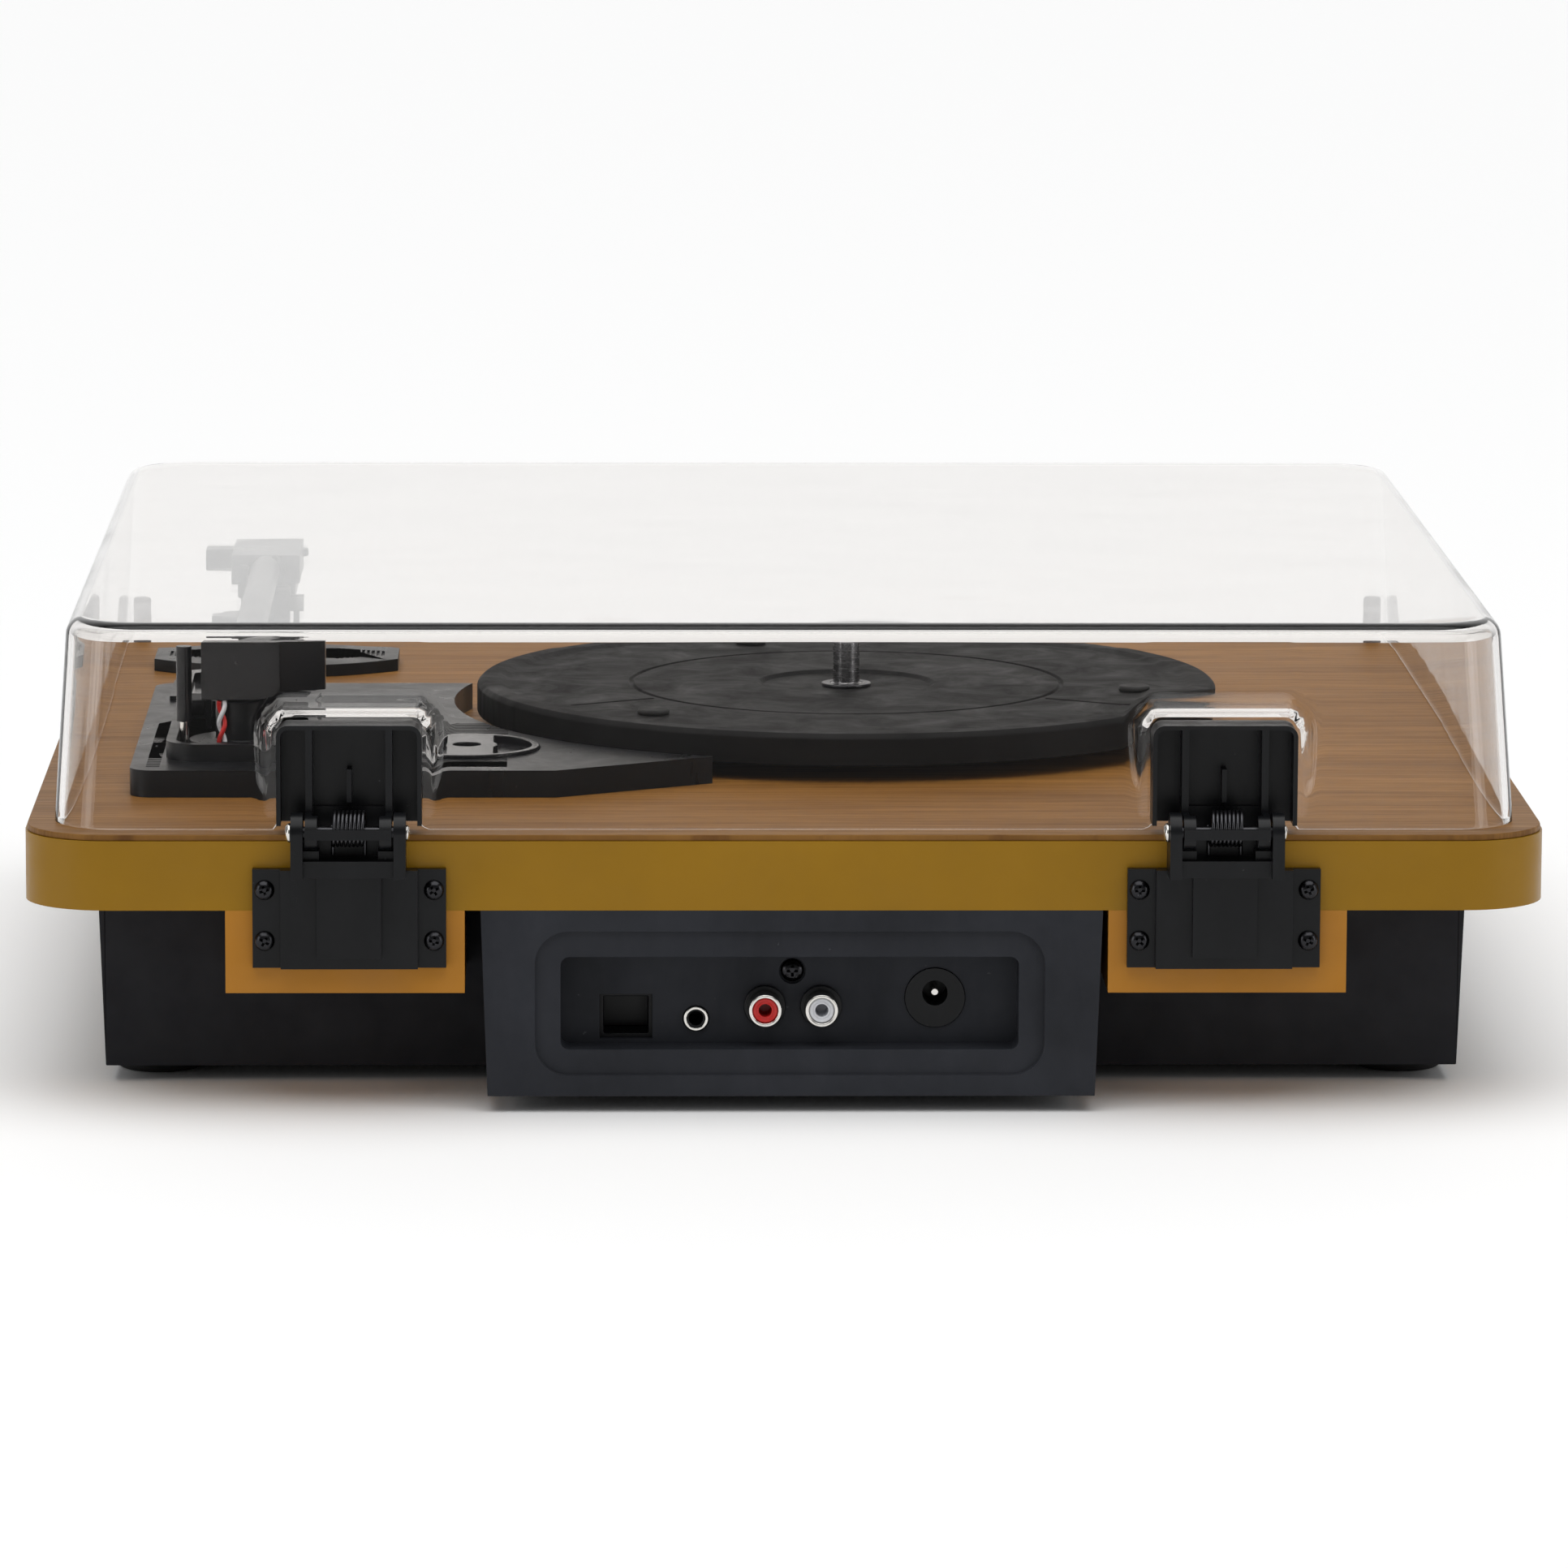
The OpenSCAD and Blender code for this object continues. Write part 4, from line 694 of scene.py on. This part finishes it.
# the head's outline: share of its radius, height
HEAD_OUTLINE = [(0, HEAD_TALL), (0.35, 1.66), (0.62, 1.45), (0.86, 0.98), (1, 0.42), (1, 0)]
SHANK = 0.45
SCREW_STEPS = 40
SCREW_EASE = 0.25
CROSS_DEPTH = 1.0
CROSS_ARM = 0.13          # half the width of an arm of the cross
CROSS_REACH_LOW = 0.2     # how far an arm reaches at the bottom of the recess
CROSS_REACH_HIGH = 0.8
CROSS_TOP = 2.4           # the cutter ends above the head
HINGE_SCREW = (2.5, 11.9)     # head radius and length under the head
PANEL_SCREW = (2.9, 5.9)
SCREW_APART = 21 * MM     # from the middle of a hinge to its screws
SCREW_SEAT = 2.4 * MM     # how far the heads' seats stand behind the plinth
LOW_TURN, HIGH_TURN = 0.3, 1.1    # each screw stopped at its own angle
TURN_BY_PLACE = 30


def cross_screw(name, radius, length):
    """A pan-head screw along +Z with a tapered cross recess, head seat at z = 0."""
    outline = [(share * radius, height) for share, height in HEAD_OUTLINE]
    outline += [(SHANK * radius, 0), (SHANK * radius, -length), (0, -length)]
    body = mesh_of(lathe(rounded(outline, SCREW_EASE), SCREW_STEPS), name)
    tool = bmesh.new()
    thin = CROSS_ARM * radius * MM
    loops = []
    for z, reach in (
        ((HEAD_TALL - CROSS_DEPTH) * MM, CROSS_REACH_LOW * radius * MM),
        (CROSS_TOP * MM, CROSS_REACH_HIGH * radius * MM),
    ):
        arm = [(thin, thin), (reach, thin), (reach, -thin)]
        loops.append([
            tool.verts.new(Matrix.Rotation(-pi / 2 * turn, 3, "Z") @ Vector((x, y, z)))
            for turn in range(4) for x, y in arm
        ])
    for i in range(len(loops[0])):
        j = (i + 1) % len(loops[0])
        tool.faces.new((loops[0][i], loops[0][j], loops[1][j], loops[1][i]))
    for loop in loops:
        tool.faces.new(loop)
    bmesh.ops.recalc_face_normals(tool, faces=tool.faces)
    return cut(body, mesh_of(tool, name + "_tool"), name)


def screws():
    """The eight hinge screws and the screw of the socket panel."""
    low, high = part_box("hinge_screws")
    mesh = cross_screw("hinge_screw", *HINGE_SCREW)
    seat = BACK_Y + SCREW_SEAT
    rise = HINGE_SCREW[0] * MM
    places = []
    for x in (HINGE_X - SCREW_APART, HINGE_X + SCREW_APART,
              -HINGE_X - SCREW_APART, -HINGE_X + SCREW_APART):
        for turn, z in ((LOW_TURN, low.z + rise), (HIGH_TURN, high.z - rise)):
            spin = Matrix.Rotation(turn + TURN_BY_PLACE * x, 4, "Z")
            places.append((mesh, Matrix.Translation((x, seat, z)) @ BACKWARD @ spin))
    finish_piece("hinge_screw_set", joined("hinge_screw_set", places), "hinge_screws")
    low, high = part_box("panel_screw")
    middle = (low + high) / 2
    single = cross_screw("socket_screw", *PANEL_SCREW)
    spot = Matrix.Translation((middle.x, high.y - HEAD_TALL * MM, middle.z)) @ BACKWARD
    finish_piece("socket_screw", joined("socket_screw", [(single, spot)]), "panel_screw")


SPRING_WIRE = 0.45 * MM
SPRING_RADIUS = 4.15 * MM
SPRING_TURNS = 8
SPRING_STEPS = 240
SPRING_LEG_STEPS = 6
WIRE_SMOOTH = 60


def springs():
    """Torsion springs wound round the hinge pins, each with two legs that stand on the bracket."""
    low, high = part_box("hinge_springs")
    centre_y = (low.y + high.y) / 2
    centre_z = high.z - SPRING_RADIUS - SPRING_WIRE
    leg_y = centre_y - SPRING_RADIUS
    rise = centre_z - low.z
    half = high.x - HINGE_X - SPRING_WIRE
    parts = []
    for side in (-1, 1):
        first_x, last_x = side * HINGE_X - half, side * HINGE_X + half
        path = [
            Vector((first_x, leg_y, low.z + SPRING_WIRE + rise * i / SPRING_LEG_STEPS))
            for i in range(SPRING_LEG_STEPS)
        ]
        for i in range(SPRING_STEPS + 1):
            share = i / SPRING_STEPS
            angle = pi - 2 * pi * SPRING_TURNS * share
            path.append(Vector((
                first_x + 2 * half * share,
                centre_y + SPRING_RADIUS * cos(angle),
                centre_z + SPRING_RADIUS * sin(angle),
            )))
        path += [
            Vector((last_x, leg_y, centre_z - (rise - SPRING_WIRE) * (i + 1) / SPRING_LEG_STEPS))
            for i in range(SPRING_LEG_STEPS)
        ]
        parts.append((mesh_of(tube(path, SPRING_WIRE), "spring"), Matrix.Identity(4)))
    wound = joined("wound_springs", parts)
    finish_piece("wound_springs", wound, "hinge_springs", sharp=WIRE_SMOOTH)


PIN_HALF = 14.2           # hinge pins, in mm: half the shank, then (radius, along) outlines
PIN_SHANK = [(0, -PIN_HALF), (1.6, -PIN_HALF), (1.6, PIN_HALF), (0, PIN_HALF)]
PIN_HEAD = [(0, PIN_HALF), (2.4, PIN_HALF), (2.4, PIN_HALF + 0.7), (1.7, PIN_HALF + 1.35),
            (0, PIN_HALF + 1.5)]
PIN_TAIL = [(0, -PIN_HALF - 1), (1.3, -PIN_HALF - 0.9), (1.9, -PIN_HALF - 0.45),
            (1.9, -PIN_HALF), (0, -PIN_HALF)]
PIN_EASE = 0.3
PIN_STEPS = 40


def pins():
    """The hinge pins: a dull shank, and a bright domed head and peened tail at its ends."""
    low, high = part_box("hinge_pins")
    mid_y, mid_z = (low.y + high.y) / 2, (low.z + high.z) / 2
    along_x = Matrix.Rotation(radians(90), 4, "Y")
    for name, material, profiles in (
        ("pin_shanks", "dark_steel", [PIN_SHANK]),
        ("pin_heads", "bright_metal", [PIN_HEAD, PIN_TAIL]),
    ):
        parts = [
            (mesh_of(lathe(rounded(profile, PIN_EASE), PIN_STEPS), name),
             Matrix.Translation((side * HINGE_X, mid_y, mid_z)) @ along_x)
            for side in (-1, 1) for profile in profiles
        ]
        finish_piece(name, joined(name, parts), "hinge_pins", material)


BARREL_OUTER, BARREL_INNER = 4.1, 3.2     # phono sockets, in mm
BARREL_FLAT = 7.6         # the barrel is a little thinner up to here
BARREL_THIN = 0.2
BARREL_EASE = 0.35
BARREL_STEPS = 64
INSERT_BORE = 1.65
BORE_DEEP = 7.4
INSERT_EASE = 0.2
INSERT_STEPS = 48


def phono():
    """The plated phono barrels with rolled lips, and their coloured inserts with a dished face."""
    low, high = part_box("phono_sockets")
    length = (high.y - low.y) / MM
    neck = BARREL_OUTER - BARREL_THIN
    barrel = [(BARREL_INNER, 0), (neck, 0), (neck, BARREL_FLAT), (BARREL_OUTER, BARREL_FLAT),
              (BARREL_OUTER, length), (BARREL_INNER, length), (BARREL_INNER, 0)]
    mesh = mesh_of(lathe(rounded(barrel, BARREL_EASE), BARREL_STEPS), "barrel")
    parts = []
    for node in ("phono_insert_red", "phono_insert_white"):
        first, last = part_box(node)
        x, z = (first.x + last.x) / 2, (first.z + last.z) / 2
        parts.append((mesh, Matrix.Translation((x, low.y, z)) @ BACKWARD))
        deep = (last.y - first.y) / MM
        insert = [(0, 0), (BARREL_INNER, 0), (BARREL_INNER, deep - 0.5), (2.9, deep),
                  (2.3, deep - 0.35), (1.9, deep - 0.1), (INSERT_BORE, deep - 0.1),
                  (INSERT_BORE, deep - BORE_DEEP), (0, deep - BORE_DEEP)]
        plug = mesh_of(lathe(rounded(insert, INSERT_EASE), INSERT_STEPS), node)
        spot = Matrix.Translation((x, first.y, z)) @ BACKWARD
        finish_piece(node + "_dished", joined(node + "_dished", [(plug, spot)]), node)
    finish_piece("phono_barrels", joined("phono_barrels", parts), "phono_sockets")


LEAD_RADIUS = 0.6 * MM
LEAD_TWIST = 1.1          # turns over the length of the leads
LEAD_SWAY = 0.5 * MM
LEAD_STEPS = 60


def twisted_leads():
    """The red and the white lead, twisted together where they drop from the turret."""
    low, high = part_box("arm_wires")
    middle = (low + high) / 2
    swing = (high.x - low.x) / 2 - LEAD_RADIUS
    for index, colour in enumerate(("red", "white")):
        path = []
        for i in range(LEAD_STEPS + 1):
            share = i / LEAD_STEPS
            angle = pi * index + 2 * pi * LEAD_TWIST * share
            path.append(Vector((
                middle.x + swing * cos(angle),
                middle.y + LEAD_SWAY * sin(angle),
                low.z + (high.z - low.z) * share,
            )))
        mesh = mesh_of(tube(path, LEAD_RADIUS), "lead_" + colour)
        finish_piece("lead_" + colour, mesh, "arm_wires", "phono_" + colour, WIRE_SMOOTH)


GRILLE_WIDE = 91.9 * MM
GRILLE_ROUND = 0.3 * MM
STILE = 4 * MM
SLAT = 2 * MM             # a slat and the gap below it are equally high
GAPS = 7
RAIL_BACK = 0.1 * MM      # the rails and slats stand behind the stiles' faces
SLAT_BACK = 0.4 * MM
GRILLE_SMOOTH = 30


def bar(low, high):
    """A box with rounded edges between two corners."""
    work = bmesh.new()
    bmesh.ops.create_cube(work, size=1)
    for vert in work.verts:
        vert.co = [low[k] + (vert.co[k] + 0.5) * (high[k] - low[k]) for k in range(3)]
    edges = work.edges[:]
    bmesh.ops.bevel(work, geom=edges, offset=GRILLE_ROUND, segments=2, profile=0.5, affect="EDGES")
    return mesh_of(work, "bar")


def grilles():
    """Two speaker grilles: a frame with slats across it."""
    low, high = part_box("speaker_grilles")
    mid_z = (low.z + high.z) / 2
    edge = (GAPS - 0.5) * SLAT
    bars = []
    for left, right in ((low.x, low.x + GRILLE_WIDE), (high.x - GRILLE_WIDE, high.x)):
        for a, b in ((left, left + STILE), (right - STILE, right)):
            bars.append(bar((a, low.y, low.z), (b, high.y, high.z)))
        start, end = left + 0.5 * STILE, right - 0.5 * STILE
        for a, b in ((low.z, mid_z - edge), (mid_z + edge, high.z)):
            bars.append(bar((start, low.y + RAIL_BACK, a), (end, high.y, b)))
        for i in range(GAPS - 1):
            z = mid_z + (i - (GAPS - 2) / 2) * 2 * SLAT
            bars.append(bar((start, low.y + SLAT_BACK, z - SLAT / 2), (end, high.y, z + SLAT / 2)))
    grille = joined("slatted_grilles", [(mesh, Matrix.Identity(4)) for mesh in bars])
    finish_piece("slatted_grilles", grille, "speaker_grilles", sharp=GRILLE_SMOOTH)


screws()
springs()
pins()
grilles()
phono()
twisted_leads()
